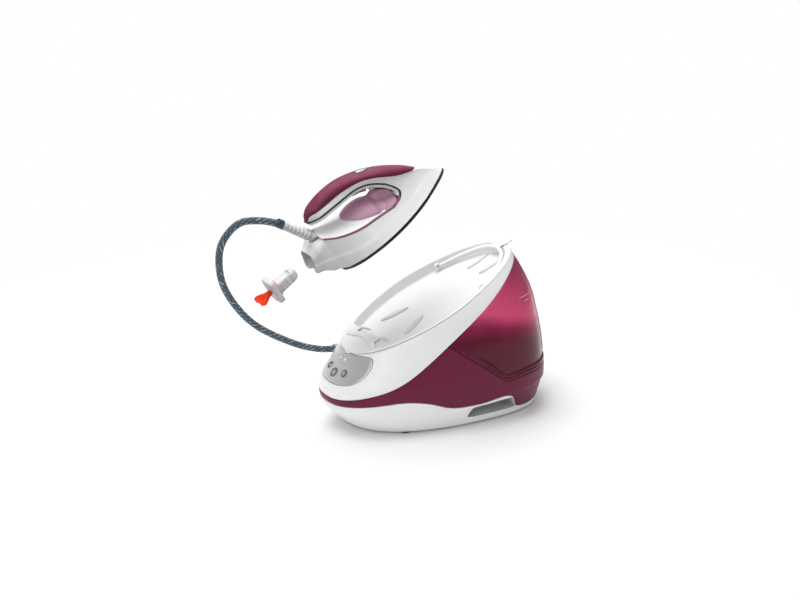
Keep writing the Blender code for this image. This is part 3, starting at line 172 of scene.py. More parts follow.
def body_point(theta, z, inset=0.0):
    """A point of the base's outer form. theta is 0 at the front, 90 degrees at +X and 180 at the rear."""
    half = value_on(WIDTH_CURVE, z) - inset
    if math.cos(theta) > 0:
        power, reach = 2 / FRONT_POWER, PLAN_MID_Y - value_on(FRONT_CURVE, z) - inset
    else:
        power, reach = 2 / REAR_POWER, value_on(REAR_CURVE, z) - inset - PLAN_MID_Y
    x = half * signed_power(math.sin(theta), power)
    return Vector((x, PLAN_MID_Y - reach * signed_power(math.cos(theta), power), z))


def front_point(x, z, inset=0.0):
    """The point of the base's front face at this x and height."""
    front = value_on(FRONT_CURVE, z) + inset
    side = min(abs(x) / (value_on(WIDTH_CURVE, z) - inset), 1.0)
    return Vector((x, PLAN_MID_Y - (PLAN_MID_Y - front) * (1 - side**FRONT_POWER) ** (1 / FRONT_POWER), z))


def rim_height(y):
    return RIM_START_Z + (y - RIM_START_Y) * math.tan(RIM_PITCH)


def cover_height(y):
    return min(value_on(COVER_LINE, y), rim_height(y) - 4.0)


def tray_height(y):
    return value_on(TRAY_LINE, y)


def seam_height(y):
    """Lower edge of the water tank: a slanted line at the sides, nearly level round the rear."""
    if y > SEAM_LOW[0]:
        return min(SEAM_LOW[1] + (y - SEAM_LOW[0]) * 0.1, SEAM_REAR_Z)
    along = (y - SEAM_FRONT[0]) / (SEAM_LOW[0] - SEAM_FRONT[0])
    return SEAM_FRONT[1] + (SEAM_LOW[1] - SEAM_FRONT[1]) * along


def shell_top_height(y):
    return min(cover_height(y), seam_height(y))


def crossing(low, high, still_below, rounds=30):
    """Halves an interval until it closes on the place where the test stops being true."""
    for _ in range(rounds):
        middle = (low + high) / 2
        if still_below(middle):
            low = middle
        else:
            high = middle
    return low, high


def on_line(theta, line, inset=0.0):
    """Height at which the outer form crosses a line given as height over y."""
    low, high = crossing(0.0, 262.0, lambda z: line(body_point(theta, z, inset).y) > z, 24)
    return (low + high) / 2


def angles(count=AROUND):
    return [2 * math.pi * i / count for i in range(count)]


def on_rim(x, y, lift):
    return Vector((x, y, rim_height(y))) + lift * RIM_UP


def rim_point(theta, inset, lift):
    """A point at this inset from the rim's outline, lifted square to the rim plane."""
    point = body_point(theta, on_line(theta, rim_height), inset)
    return on_rim(point.x, point.y, lift)


# ---------------------------------------------------------------- making pieces
def finish_mesh(name, points, faces, look, smooth=40.0):
    mesh = bpy.data.meshes.new(name)
    mesh.from_pydata([Vector(p) * MM for p in points], [], faces)
    work = bmesh.new()
    work.from_mesh(mesh)
    bmesh.ops.remove_doubles(work, verts=work.verts, dist=2e-6)
    bmesh.ops.recalc_face_normals(work, faces=work.faces)
    work.to_mesh(mesh)
    work.free()
    mesh.shade_smooth()
    mesh.set_sharp_from_angle(angle=math.radians(smooth))
    made = bpy.data.objects.new(name, mesh)
    bpy.context.scene.collection.objects.link(made)
    if look is not None:
        mesh.materials.append(look)
    return made


def settle(made, body, replaces=()):
    """Applies the piece's modifiers, then fixes it to its body."""
    if made.modifiers:
        graph = bpy.context.evaluated_depsgraph_get()
        mesh = bpy.data.meshes.new_from_object(made.evaluated_get(graph))
        made.modifiers.clear()
        made.data = mesh
        mesh.shade_smooth()
        mesh.set_sharp_from_angle(angle=math.radians(made.get("smooth", 40.0)))
    if body:
        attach(made, body)
    if replaces:
        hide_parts(*replaces)
    return made


def ring_mesh(name, rings, look, closed=False, caps=True, smooth=40.0):
    """A surface through rings of equal length. The ends are capped, or the last ring joins the first."""
    size = len(rings[0])
    points = [p for ring in rings for p in ring]
    faces = []
    for i in range(len(rings) if closed else len(rings) - 1):
        here, there = i * size, (i + 1) % len(rings) * size
        for j in range(size):
            k = (j + 1) % size
            faces.append((here + j, here + k, there + k, there + j))
    if caps and not closed:
        faces.append(tuple(range(size)))
        faces.append(tuple(range(len(points) - size, len(points))))
    made = finish_mesh(name, points, faces, look, smooth)
    made["smooth"] = smooth
    return made


def slab_mesh(name, outer, inner, look, smooth=40.0):
    """A solid between two grids of points with the same rows and columns."""
    rows, columns = len(outer), len(outer[0])
    points = [p for row in outer for p in row] + [p for row in inner for p in row]
    back = rows * columns
    faces = []
    for i in range(rows - 1):
        for j in range(columns - 1):
            a = i * columns + j
            quad = (a, a + 1, a + columns + 1, a + columns)
            faces.append(quad)
            faces.append(tuple(back + q for q in reversed(quad)))
    border = list(range(columns))
    border += [i * columns + columns - 1 for i in range(1, rows)]
    border += [(rows - 1) * columns + j for j in range(columns - 2, -1, -1)]
    border += [i * columns for i in range(rows - 2, 0, -1)]
    for a, b in zip(border, border[1:] + border[:1]):
        faces.append((b, a, back + a, back + b))
    made = finish_mesh(name, points, faces, look, smooth)
    made["smooth"] = smooth
    return made


def turned(profile, matrix=None, segments=48):
    matrix = matrix or Matrix()
    return [
        [matrix @ Vector((max(r, 0.0) * math.cos(a), max(r, 0.0) * math.sin(a), h)) for a in angles(segments)]
        for r, h in profile
    ]


def axis_frame(point, direction):
    """A matrix whose Z axis runs along a direction from a point."""
    turn = Vector((0, 0, 1)).rotation_difference(Vector(direction).normalized())
    return Matrix.Translation(Vector(point)) @ turn.to_matrix().to_4x4()


def rod(radius, low, high):
    """Half the outline of a plain cylinder."""
    return ((0, low), (radius, low), (radius, high), (0, high))


def rectangle(x0, x1, y0, y1):
    return ((x0, y0), (x1, y0), (x1, y1), (x0, y1))


def smooth_path(points, steps):
    """Points along a Catmull-Rom curve."""
    points = [Vector(p) for p in points]
    ends = [2 * points[0] - points[1]] + points + [2 * points[-1] - points[-2]]
    path = []
    for i in range(len(points) - 1):
        a, b, c, d = ends[i:i + 4]
        for k in range(steps):
            t = k / steps
            bend = (2 * a - 5 * b + 4 * c - d) * t**2 + (3 * b - a - 3 * c + d) * t**3
            path.append(0.5 * (2 * b + (c - a) * t + bend))
    path.append(points[-1])
    return path


def sweep_rings(path, radius, sides=24):
    """Circles along a path, square to it and turned as little as possible."""
    points = [Vector(p) for p in path]
    rings = []
    side = None
    for i, point in enumerate(points):
        along = (points[min(i + 1, len(points) - 1)] - points[max(i - 1, 0)]).normalized()
        if side is None:
            side = along.orthogonal().normalized()
        side = (side - along * side.dot(along)).normalized()
        other = along.cross(side)
        width = radius(i / (len(points) - 1)) if callable(radius) else radius
        rings.append([point + width * (side * math.cos(a) + other * math.sin(a)) for a in angles(sides)])
    return rings


def rounded(outline, radius, steps=5):
    """An outline with its corners rounded: each corner becomes a short curve."""
    made = []
    count = len(outline)
    for i in range(count):
        here = Vector(outline[i])
        before, after = Vector(outline[i - 1]), Vector(outline[(i + 1) % count])
        start = here + (before - here).normalized() * min(radius, (before - here).length * 0.45)
        end = here + (after - here).normalized() * min(radius, (after - here).length * 0.45)
        for k in range(steps + 1):
            t = k / steps
            made.append(tuple((1 - t) ** 2 * start + 2 * t * (1 - t) * here + t * t * end))
    return made


def cut(target, cutter, operation="DIFFERENCE"):
    step = target.modifiers.new(cutter.name, "BOOLEAN")
    step.operation = operation
    step.object = cutter
    step.solver = "EXACT"
    target["cutters"] = list(target.get("cutters", [])) + [cutter.name]


def carve(target, name, rings, operation="DIFFERENCE", closed=False):
    """Cuts a shape made of rings out of the target, or joins it on."""
    cut(target, ring_mesh(name, rings, None, closed=closed), operation)


def settle_cut(target, body, replaces=(), bevel=0.0):
    """Applies the cuts, then rounds sharp edges if asked, and removes the cutting shapes."""
    if bevel:
        step = target.modifiers.new("edges", "BEVEL")
        step.width = bevel * MM
        step.segments = 2
        step.limit_method = "ANGLE"
        step.angle_limit = math.radians(50)
        step.use_clamp_overlap = True
    names = list(target.get("cutters", []))
    settle(target, body, replaces)
    for name in names:
        bpy.data.objects.remove(bpy.data.objects[name], do_unlink=True)
    return target


# ---------------------------------------------------------------- procedural materials
def srgb(code):
    """Linear colour from a hex code."""
    parts = [int(code[i:i + 2], 16) / 255 for i in (0, 2, 4)]
    return tuple(p / 12.92 if p < 0.04045 else ((p + 0.055) / 1.055) ** 2.4 for p in parts)


class Nodes:
    """Adds nodes to a material and links them in a few words."""

    def __init__(self, name):
        self.material = bpy.data.materials.new(name)
        self.material.use_nodes = True
        self.tree = self.material.node_tree
        self.shader = self.tree.nodes["Principled BSDF"]
        self.coords = self.tree.nodes.new("ShaderNodeTexCoord").outputs["Object"]

    def put(self, socket, value):
        if hasattr(value, "is_output"):
            self.tree.links.new(value, socket)
        elif hasattr(value, "__len__") and len(value) == 3 and socket.type == "RGBA":
            socket.default_value = (*value, 1)
        else:
            socket.default_value = value

    def node(self, kind, out=0, settings=(), **inputs):
        made = self.tree.nodes.new(kind)
        for key, value in settings:
            setattr(made, key, value)
        for key, value in inputs.items():
            self.put(made.inputs[key.replace("_", " ")], value)
        return made.outputs[out]

    def noise(self, scale, detail=4.0):
        return self.node("ShaderNodeTexNoise", Vector=self.coords, Scale=scale, Detail=detail)

    def uneven(self, scale, low, high, half=0.2, detail=4.0):
        """A value that wanders between two limits over the surface."""
        return self.fit(self.noise(scale, detail), 0.5 - half, 0.5 + half, low, high)

    def streaks(self, scale, detail):
        """Noise drawn out along an axis."""
        stretch = self.node("ShaderNodeMapping", Vector=self.coords, Scale=scale)
        return self.node("ShaderNodeTexNoise", Vector=stretch, Scale=1.0, Detail=detail)

    def grain(self, scale, strength, distance=0.0003, detail=3.0):
        return self.bump(self.noise(scale, detail), strength, distance)

    def fit(self, value, low, high, to_low, to_high):
        made = self.tree.nodes.new("ShaderNodeMapRange")
        for socket, given in zip(made.inputs, (value, low, high, to_low, to_high)):
            self.put(socket, given)
        return made.outputs[0]

    def maths(self, operation, *values):
        made = self.tree.nodes.new("ShaderNodeMath")
        made.operation = operation
        for socket, given in zip(made.inputs, values):
            self.put(socket, given)
        return made.outputs[0]

    def mix(self, share, first, second, blend="MIX"):
        made = self.tree.nodes.new("ShaderNodeMix")
        made.data_type = "RGBA"
        made.blend_type = blend
        self.put(made.inputs[0], share)
        self.put(made.inputs[6], first)
        self.put(made.inputs[7], second)
        return made.outputs[2]

    def ramp(self, value, stops):
        made = self.tree.nodes.new("ShaderNodeValToRGB")
        self.put(made.inputs[0], value)
        while len(made.color_ramp.elements) < len(stops):
            made.color_ramp.elements.new(0.5)
        for element, (at, colour) in zip(made.color_ramp.elements, stops):
            element.position = at
            element.color = (*colour, 1)
        return made.outputs[0]

    def axis(self, index):
        split = self.tree.nodes.new("ShaderNodeSeparateXYZ")
        self.put(split.inputs[0], self.coords)
        return split.outputs[index]

    def bump(self, height, strength, distance):
        return self.node("ShaderNodeBump", Strength=strength, Distance=distance, Height=height)

    def finish(self, colour, roughness, normal=None, **inputs):
        self.put(self.shader.inputs["Base Color"], colour)
        self.put(self.shader.inputs["Roughness"], roughness)
        if normal is not None:
            self.put(self.shader.inputs["Normal"], normal)
        for key, value in inputs.items():
            self.put(self.shader.inputs[key.replace("_", " ")], value)
        return self.material


def worn(nodes, colour, lighter, amount):
    """Slightly polished and lightened edges."""
    geometry = nodes.tree.nodes.new("ShaderNodeNewGeometry")
    edge = nodes.fit(geometry.outputs["Pointiness"], 0.56, 0.7, 0.0, amount)
    patchy = nodes.maths("MULTIPLY", edge, nodes.uneven(90.0, 0.3, 1.0))
    return nodes.mix(patchy, colour, lighter)


def plastic(name, colour, roughness, grain=0.02, wear=0.25, spread=0.05, **inputs):
    """Moulded plastic: faint mottling, uneven gloss, a fine skin texture and lightened edges."""
    nodes = Nodes(name)
    darker = tuple(c * (1 - spread) for c in colour)
    lighter = tuple(min(c * (1 + spread), 1.0) for c in colour)
    base = nodes.mix(nodes.uneven(14.0, 0.0, 1.0, 0.15), darker, lighter)
    edge_colour = tuple(min(c * 1.25 + 0.05, 0.95) for c in colour)
    base = worn(nodes, base, edge_colour, wear)
    gloss = nodes.uneven(55.0, roughness * 0.85, roughness * 1.15)
    return nodes.finish(base, gloss, nodes.grain(1400.0, grain, 0.0004), **inputs)


def metal(name, colour, roughness, brushed=0.15):
    """Metal with fine brushed lines and brighter edges."""
    nodes = Nodes(name)
    lines = nodes.streaks((60.0, 60.0, 1200.0), 3.0)
    base = nodes.mix(nodes.uneven(40.0, 0.0, 1.0), tuple(c * 0.86 for c in colour), colour)
    base = worn(nodes, base, tuple(min(c * 1.3, 1.0) for c in colour), 0.4)
    gloss = nodes.fit(lines, 0.3, 0.7, roughness * 0.75, roughness * 1.25)
    return nodes.finish(base, gloss, nodes.bump(lines, brushed, 0.0003), Metallic=1.0)


def shell_look():
    """Burgundy that turns greyer towards the rear, under a satin skin."""
    nodes = Nodes("burgundy_shell")
    front, rear = srgb("6C1F3C"), srgb("74344E")
    base = nodes.mix(nodes.fit(nodes.axis(1), 0.08, 0.19, 0.0, 0.75), front, rear)
    base = nodes.mix(nodes.uneven(11.0, 0.0, 0.12, 0.15), base, srgb("641C37"))
    base = worn(nodes, base, srgb("9A6074"), 0.3)
    gloss = nodes.uneven(50.0, 0.36, 0.46)
    return nodes.finish(base, gloss, nodes.grain(900.0, 0.01), Specular_IOR_Level=0.2)


def tank_look_painted_light():
    """Smoked ruby with painted light: bright where light passes through the upper chamber, dark where it lies on
    the casing, with a painted sheen at grazing angles.
    """
    nodes = Nodes("tank_ruby_painted_light")
    height = nodes.fit(nodes.axis(2), 0.06, 0.25, 0.0, 1.0)
    back = nodes.fit(nodes.axis(1), 0.0, 0.19, 0.0, 0.16)
    wave = nodes.uneven(9.0, -0.03, 0.03, detail=2.0)
    height = nodes.maths("ADD", nodes.maths("ADD", height, back), wave)
    # Painted light: the ramp puts a bright band high on the tank, lifted towards the rear.
    stops = (
        (0.0, srgb("6A1834")),
        (0.18, srgb("560D26")),
        (0.44, srgb("5E102B")),
        (0.54, srgb("8A2248")),
        (0.66, srgb("DA5078")),
        (0.78, srgb("C84A70")),
        (0.9, srgb("B03A5E")),
        (1.0, srgb("8E2B4B")),
    )
    base = nodes.ramp(height, stops)
    # Painted sheen: faces seen at a grazing angle are mixed towards a pale pink.
    grazing_sheen = nodes.node("ShaderNodeLayerWeight", out=1, Blend=0.35)
    base = nodes.mix(nodes.fit(grazing_sheen, 0.65, 1.0, 0.0, 0.5), base, srgb("B87A96"))
    base = worn(nodes, base, srgb("D08AA0"), 0.25)
    gloss = nodes.uneven(60.0, 0.1, 0.17)
    skin = nodes.grain(300.0, 0.01, detail=4.0)
    return nodes.finish(base, gloss, skin, Coat_Weight=0.12, Coat_Roughness=0.08, Specular_IOR_Level=0.22)


def grip_look_painted_light():
    """Soft grip, deep burgundy down its sides, with a painted highlight that turns it lighter and mauve on top;
    finely grained.
    """
    nodes = Nodes("grip_soft_painted_light")
    geometry = nodes.tree.nodes.new("ShaderNodeNewGeometry")
    up = nodes.tree.nodes.new("ShaderNodeSeparateXYZ")
    nodes.put(up.inputs[0], geometry.outputs["Normal"])
    # Painted highlight: faces turned up get the lighter mauve, faces turned sideways the deep burgundy.
    base = nodes.mix(nodes.fit(up.outputs[2], 0.0, 0.85, 0.0, 1.0), srgb("551327"), srgb("7C2F4B"))
    speck = nodes.node("ShaderNodeTexVoronoi", Vector=nodes.coords, Scale=620.0)
    base = nodes.mix(nodes.fit(speck, 0.1, 0.6, 0.22, 0.0), base, srgb("58203A"))
    base = worn(nodes, base, srgb("B77A8E"), 0.3)
    gloss = nodes.uneven(80.0, 0.5, 0.62)
    return nodes.finish(base, gloss, nodes.bump(speck, 0.25, 0.0005), Specular_IOR_Level=0.25)


def hose_look():
    """Braided sleeve: slate blue threads with pale flecks wound round it in both directions."""
    nodes = Nodes("hose_braid")
    place = nodes.tree.nodes.new("ShaderNodeUVMap").outputs[0]
    split = nodes.tree.nodes.new("ShaderNodeSeparateXYZ")
    nodes.put(split.inputs[0], place)
    around = nodes.maths("MULTIPLY", split.outputs[0], 5.0)
    along = nodes.maths("MULTIPLY", split.outputs[1], 100.0)
    strands = [nodes.maths("PINGPONG", nodes.maths(way, around, along), 0.5) for way in ("ADD", "SUBTRACT")]
    weave = nodes.maths("MULTIPLY", *strands)
    bright = nodes.maths("MULTIPLY", strands[0], nodes.uneven(110.0, 0.5, 1.5))
    flecks = nodes.maths("GREATER_THAN", bright, 0.46)
    base = nodes.mix(nodes.fit(weave, 0.0, 0.2, 0.0, 1.0), srgb("33424E"), srgb("566A79"))
    base = nodes.mix(nodes.maths("MULTIPLY", flecks, 0.75), base, srgb("AEBBC4"))
    base = worn(nodes, base, srgb("8D9AA5"), 0.15)
    return nodes.finish(base, 0.85, nodes.bump(weave, 0.6, 0.0006), Sheen_Weight=0.3)


def iron_look_painted_shade():
    """Glossy white with painted shade: cool grey on the downturned faces where the casing curves under."""
    nodes = Nodes("white_iron_painted_shade")
    turn = nodes.tree.nodes.new("ShaderNodeSeparateXYZ")
    nodes.put(turn.inputs[0], nodes.tree.nodes.new("ShaderNodeTexCoord").outputs["Normal"])
    # Painted shade: the height of the object-space normal turns faces that point down to grey and faces that point
    # up to white.
    shade = nodes.fit(turn.outputs[2], -0.25, 0.45, 0.0, 1.0)
    base = nodes.mix(shade, (0.32, 0.325, 0.33), (0.8, 0.802, 0.805))
    base = nodes.mix(nodes.uneven(14.0, 0.0, 0.02, 0.15), base, (0.7, 0.7, 0.7))
    base = worn(nodes, base, (0.9, 0.9, 0.9), 0.1)
    gloss = nodes.uneven(55.0, 0.27, 0.36)
    return nodes.finish(base, gloss, nodes.grain(1400.0, 0.006, 0.0004))


def sole_look():
    """Dark brown coating with a metallic sheen and worn edges."""
    nodes = Nodes("sole_coat")
    mottle = nodes.noise(220.0)
    base = nodes.mix(nodes.fit(mottle, 0.35, 0.65, 0.0, 1.0), srgb("2A2119"), srgb("3A2E22"))
    base = worn(nodes, base, srgb("A58A5C"), 0.7)
    return nodes.finish(base, nodes.uneven(30.0, 0.22, 0.34), nodes.bump(mottle, 0.04, 0.0003), Metallic=0.55)


def panel_look():
    """Silver lacquer that darkens towards one side."""
    nodes = Nodes("panel_silver")
    base = nodes.mix(nodes.fit(nodes.axis(0), -0.05, 0.06, 0.0, 1.0), srgb("ECECED"), srgb("A6A8AA"))
    lines = nodes.streaks((30.0, 900.0, 900.0), 2.0)
    base = nodes.mix(nodes.fit(lines, 0.3, 0.7, 0.0, 0.12), base, srgb("FFFFFF"))
    base = worn(nodes, base, srgb("E8E8E8"), 0.4)
    return nodes.finish(base, nodes.uneven(70.0, 0.28, 0.38), nodes.bump(lines, 0.05, 0.0002), Metallic=0.35)


def insert_look():
    """Mauve pad with faint mottling and a fine grain."""
    nodes = Nodes("insert_mauve")
    base = nodes.mix(nodes.uneven(20.0, 0.0, 1.0), srgb("B3839C"), srgb("BB8CA4"))
    base = worn(nodes, base, srgb("C9A0B4"), 0.2)
    return nodes.finish(base, nodes.uneven(60.0, 0.42, 0.52), nodes.grain(1800.0, 0.06, 0.0004))


WHITE = plastic("white_shell", (0.87, 0.872, 0.875), 0.36, grain=0.006, spread=0.006, wear=0.1)
WHITE_IRON_PAINTED_SHADE = iron_look_painted_shade()
SHELL = shell_look()
TANK = tank_look_painted_light()
GRIP = grip_look_painted_light()
HOSE = hose_look()
SOLE = sole_look()
PANEL = panel_look()
INSERT = insert_look()
PINK_TRIM = plastic("pink_trim", srgb("8A4A62"), 0.4, wear=0.2)
BLACK_TRIM = plastic("black_trim", srgb("2B2620"), 0.35, wear=0.25)
TRIGGER_RED = plastic("trigger_red", srgb("8A1734"), 0.35)
KNOB = plastic(
    "knob_orange", srgb("F83C02"), 0.35, wear=0.15, Transmission_Weight=0.1, Specular_IOR_Level=0.25
)
SEAL_PINK = plastic("seal_pink", srgb("D9A0B0"), 0.5)
COLLAR = plastic("hose_collar", srgb("303B45"), 0.5)
# Painted shade for the inside of the cord recesses.
RECESS_PAINTED_SHADE = plastic("recess_shade", (0.52, 0.52, 0.525), 0.5, spread=0.02)
GREY = plastic("grey_mould", srgb("9A9C9E"), 0.45)
DARK = plastic("dark_gap", srgb("5A5B5E"), 0.5)
PAD = plastic("pad_silicone", (0.70, 0.705, 0.71), 0.5, spread=0.02)
ICON = plastic("icon_white", (0.9, 0.9, 0.9), 0.5)
CHROME = metal("chrome_cap", (0.4, 0.4, 0.41), 0.34, 0.03)
BUTTON = plastic("button_silver", srgb("8C8E90"), 0.3, Metallic=0.3)
LENS = plastic("lens_grey", srgb("B9BBBD"), 0.12, Coat_Weight=0.8)
LOOKS = {
    "white_abs": WHITE,
    "burgundy_abs": SHELL,
    "tinted_tank": TANK,
    "grip_polymer": GRIP,
    "mauve_insert": INSERT,
    "red_control": TRIGGER_RED,
    "orange_knob": KNOB,
    "silver_panel": BUTTON,
    "grey_plastic": GREY,
    "dark_polymer": BLACK_TRIM,
    "black_rubber": plastic("foot_rubber", (0.02, 0.02, 0.02), 0.8, grain=0.1),
    "braided_hose": HOSE,
    "coated_sole": SOLE,
    "cast_aluminium": metal("cast_metal", (0.6, 0.6, 0.6), 0.45),
    "stainless_steel": metal("steel", (0.55, 0.55, 0.55), 0.28),
    "brass": metal("brass", (0.6, 0.42, 0.15), 0.3),
    "copper_winding": metal("copper", (0.55, 0.25, 0.12), 0.4),
    "circuit_board": plastic("board_green", (0.02, 0.16, 0.06), 0.5),
    "silicone_tube": plastic("tube_silicone", (0.75, 0.75, 0.72), 0.6),
}


def paint_frame():
    """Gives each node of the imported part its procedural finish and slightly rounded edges."""
    for row in frame["record"]["subparts"]:
        shown = frame["nodes"][row["node"]]
        shown.data.materials.clear()
        shown.data.materials.append(LOOKS[row["material_slot"]])
        if not shown.hide_render:
            step = shown.modifiers.new("edges", "BEVEL")
            step.width = 0.25 * MM
            step.segments = 2
            step.limit_method = "ANGLE"
            step.angle_limit = math.radians(40)
            step.harden_normals = False


# ---------------------------------------------------------------- base: shells
SHUT_GAP = 0.45
# A shut line is rounded over its last millimetre, as distance from the edge and inset.
EDGE = ((0.0, 0.9), (0.1, 0.45), (0.4, 0.12), (1.0, 0.0))


def band_rings(bottom, top, thick, rows, bulge=None):
    """A wall of the outer form between two heights, both given for each angle."""
    columns = []
    for theta in angles():
        low, high = bottom(theta), top(theta)
        spots = [(low + d, inset) for d, inset in EDGE]
        spots += [(low + 1.0 + (high - low - 2.0) * row / rows, 0.0) for row in range(1, rows)]
        spots += [(high - d, inset) for d, inset in EDGE[::-1]]
        column = [body_point(theta, z, inset - (bulge(theta, z) if bulge else 0.0)) for z, inset in spots]
        column += [body_point(theta, z, thick) for z in (high, (low + high) / 2, low)]
        columns.append(column)
    return [list(ring) for ring in zip(*columns)]


def memo(line, shift):
    """The line's height at each angle, moved by the shift and kept once found."""
    known = {}

    def height(theta):
        if theta not in known:
            known[theta] = on_line(theta, line) + shift
        return known[theta]

    return height


def recess_outline():
    """The mouth of a cord recess, seen from the side."""
    return rounded(((-1.5, 14.5), (8, 12.6), (92, 12.9), (93.5, 14.6), (81, 35.3), (6, 31.6)), 4.5)


def along_x(outline, places):
    return [[Vector((x, y, z)) for y, z in outline] for x in places]


def side_point(y, z, inset=0.0):
    """The point of the base's right side at this y and height."""
    half = value_on(WIDTH_CURVE, z) - inset
    if y < PLAN_MID_Y:
        power, reach = FRONT_POWER, PLAN_MID_Y - value_on(FRONT_CURVE, z) - inset
    else:
        power, reach = REAR_POWER, value_on(REAR_CURVE, z) - inset - PLAN_MID_Y
    share = min(abs(y - PLAN_MID_Y) / reach, 1.0)
    return Vector((half * (1 - share**power) ** (1 / power), y, z))


def build_pan():
    """The white bottom pan with its two cord recesses."""
    line = memo(tray_height, -SHUT_GAP)
    columns = []
    for theta in angles():
        high = line(theta)
        spots = [(0.0, 3.2), (0.3, 1.6), (1.1, 0.5), (2.6, 0.0)]
        spots += [(2.6 + (high - 3.6) * row / 10, 0.0) for row in range(1, 10)]
        spots += [(high - d, inset) for d, inset in EDGE[::-1]]
        column = [body_point(theta, z, inset) for z, inset in spots]
        column += [body_point(theta, z, WALL) for z in (high, (3 + high) / 2, 3.0)]
        columns.append(column)
    pan = ring_mesh("pan", [list(ring) for ring in zip(*columns)], WHITE)
    stations = range(-5, 100, 6)
    for side in (1, -1):
        outer, inner = [], []
        for row in range(9):
            z = 2.0 + row * 35.0 / 8
            outer.append([Vector((side * min(side_point(y, z, 1.2).x, 130), y, z)) for y in stations])
            inner.append([Vector((side * 81.0, y, z)) for y in stations])
        block = slab_mesh("recess_block_%d" % side, outer, inner, None)
        below = [(y, tray_height(y) - 0.8) for y in range(-8, 108, 4)] + [(106, -20), (-8, -20)]
        carve(block, "recess_keep_%d" % side, along_x(below, (-150, 150)), "INTERSECT")
        settle_cut(block, None)
        cut(pan, block, "UNION")
        carve(pan, "recess_hole_%d" % side, along_x(recess_outline(), (side * 84.0, side * 150.0)))
    settle_cut(pan, "base", ("bottom_tray",), bevel=0.35)
    # Painted shade: faces inside each cord recess get the darker grey material.
    pan.data.materials.append(RECESS_PAINTED_SHADE)
    for face in pan.data.polygons:
        x, y, z = face.center / MM
        if -4 < y < 97 and 12.2 < z < 35.6 and 83 < abs(x) < side_point(y, z).x - 3.0:
            face.material_index = 1


def build_shell():
    """The burgundy side casing, swelling gently behind and under the tank."""
    def bulge(theta, z):
        away = abs(math.degrees(theta) - 180.0)
        return 3.0 * smooth_step(98.0, 78.0, away) * smooth_step(41.0, 47.5, z)

    line = memo(tray_height, SHUT_GAP)
    seam = memo(shell_top_height, -SHUT_GAP)
    shell = ring_mesh("shell", band_rings(line, seam, WALL, 22, bulge), SHELL, closed=True)
    latch_gap = rounded(rectangle(-21, 21, 49.4, 62.6), 2.5)
    carve(shell, "latch_gap", [[Vector((x, y, z)) for x, z in latch_gap] for y in (165, 205)])
    carve(shell, "shell_port", turned(rod(9.0, -30, 30), PORT))
    settle_cut(shell, "base", ("body_shell",))


def build_cover():
    """The white upper casing, open under the rest tray, with the panel's opening and the hose port."""
    line = memo(cover_height, SHUT_GAP)
    rim = memo(rim_height, 0.0)
    cover = ring_mesh("cover", band_rings(line, rim, WALL, 26), WHITE, closed=True)
    opening = [[front_point(*p) + h * PANEL_UP for p in fine_panel(1.0)] for h in (-18, 18)]
    carve(cover, "panel_opening", opening)
    carve(cover, "cover_port", turned(rod(9.0, -30, 30), PORT))
    settle_cut(cover, "base", ("top_cover",), bevel=0.5)


def build_rest():
    """The rest tray: a rounded rim band, a steep wall and a smooth floor."""
    section = ((7.6, 0.85), (0.5, 0.85), (0.12, 1.1), (0.2, 1.5), (0.8, 2.0), (2.0, 2.4), (3.6, 2.6),
               (5.6, 2.6), (7.4, 2.3), (8.6, 1.7), (9.4, 0.8), (9.9, -0.4), (10.5, -4.0), (11.3, -9.0),
               (11.9, -11.6), (12.8, -13.1), (14.2, -13.8), (16.5, -14.0), (24.0, -14.0), (34.0, -14.0))
    inner = ((34.0, -16.2), (20.0, -16.2), (15.0, -16.2), (11.5, -14.8), (9.6, -12.6), (8.4, -6.0),
             (7.8, -1.0))

    def ring(inset, lift):
        points = []
        for theta in angles():
            point = rim_point(theta, inset, 0.0)
            if inset > BAND_INNER:
                # Inside the band, the tray's front is held back to a ledge, with a soft turn into its sides.
                reach = (point.y - LEDGE_Y) / LEDGE_TURN
                soft = math.log1p(math.exp(min(reach, 30.0))) if reach < 30 else reach
                y = LEDGE_Y + LEDGE_TURN * soft
                point = on_rim(point.x, y, 0.0)
            points.append(point + lift * RIM_UP)
        return points

    rings = [ring(inset, lift) for inset, lift in section]
    centre = on_rim(0.0, 20.0, TRAY_FLOOR)
    for share in (0.66, 0.33):
        rings.append([centre + (p - centre) * share for p in rings[len(section) - 1]])
    rings += [[p - 2.2 * RIM_UP for p in rings[-1]]]
    rings += [ring(inset, lift) for inset, lift in inner]
    points = [p for r in rings for p in r]
    size, count = AROUND, len(rings)
    last_floor = len(section) + 1
    faces = []
    for i in range(count - 1):
        if i == last_floor:
            continue
        for j in range(size):
            k = (j + 1) % size
            faces.append((i * size + j, i * size + k, (i + 1) * size + k, (i + 1) * size + j))
    faces.append(tuple(range(last_floor * size, (last_floor + 1) * size)))
    faces.append(tuple(range((last_floor + 1) * size, (last_floor + 2) * size)))
    for j in range(size):
        k = (j + 1) % size
        faces.append(((count - 1) * size + j, (count - 1) * size + k, k, j))
    tray = finish_mesh("rest", points, faces, WHITE)
    settle(tray, "base", ("rest_tray",))


def leaf(centre, length, width, turn, points=48):
    """A pointed oval outline."""
    outline = []
    for a in angles(points):
        along = math.cos(a) * length / 2
        across = signed_power(math.sin(a), 1.3) * width / 2
        outline.append((centre[0] + along * math.sin(turn) + across * math.cos(turn),
                        centre[1] + along * math.cos(turn) - across * math.sin(turn)))
    return outline


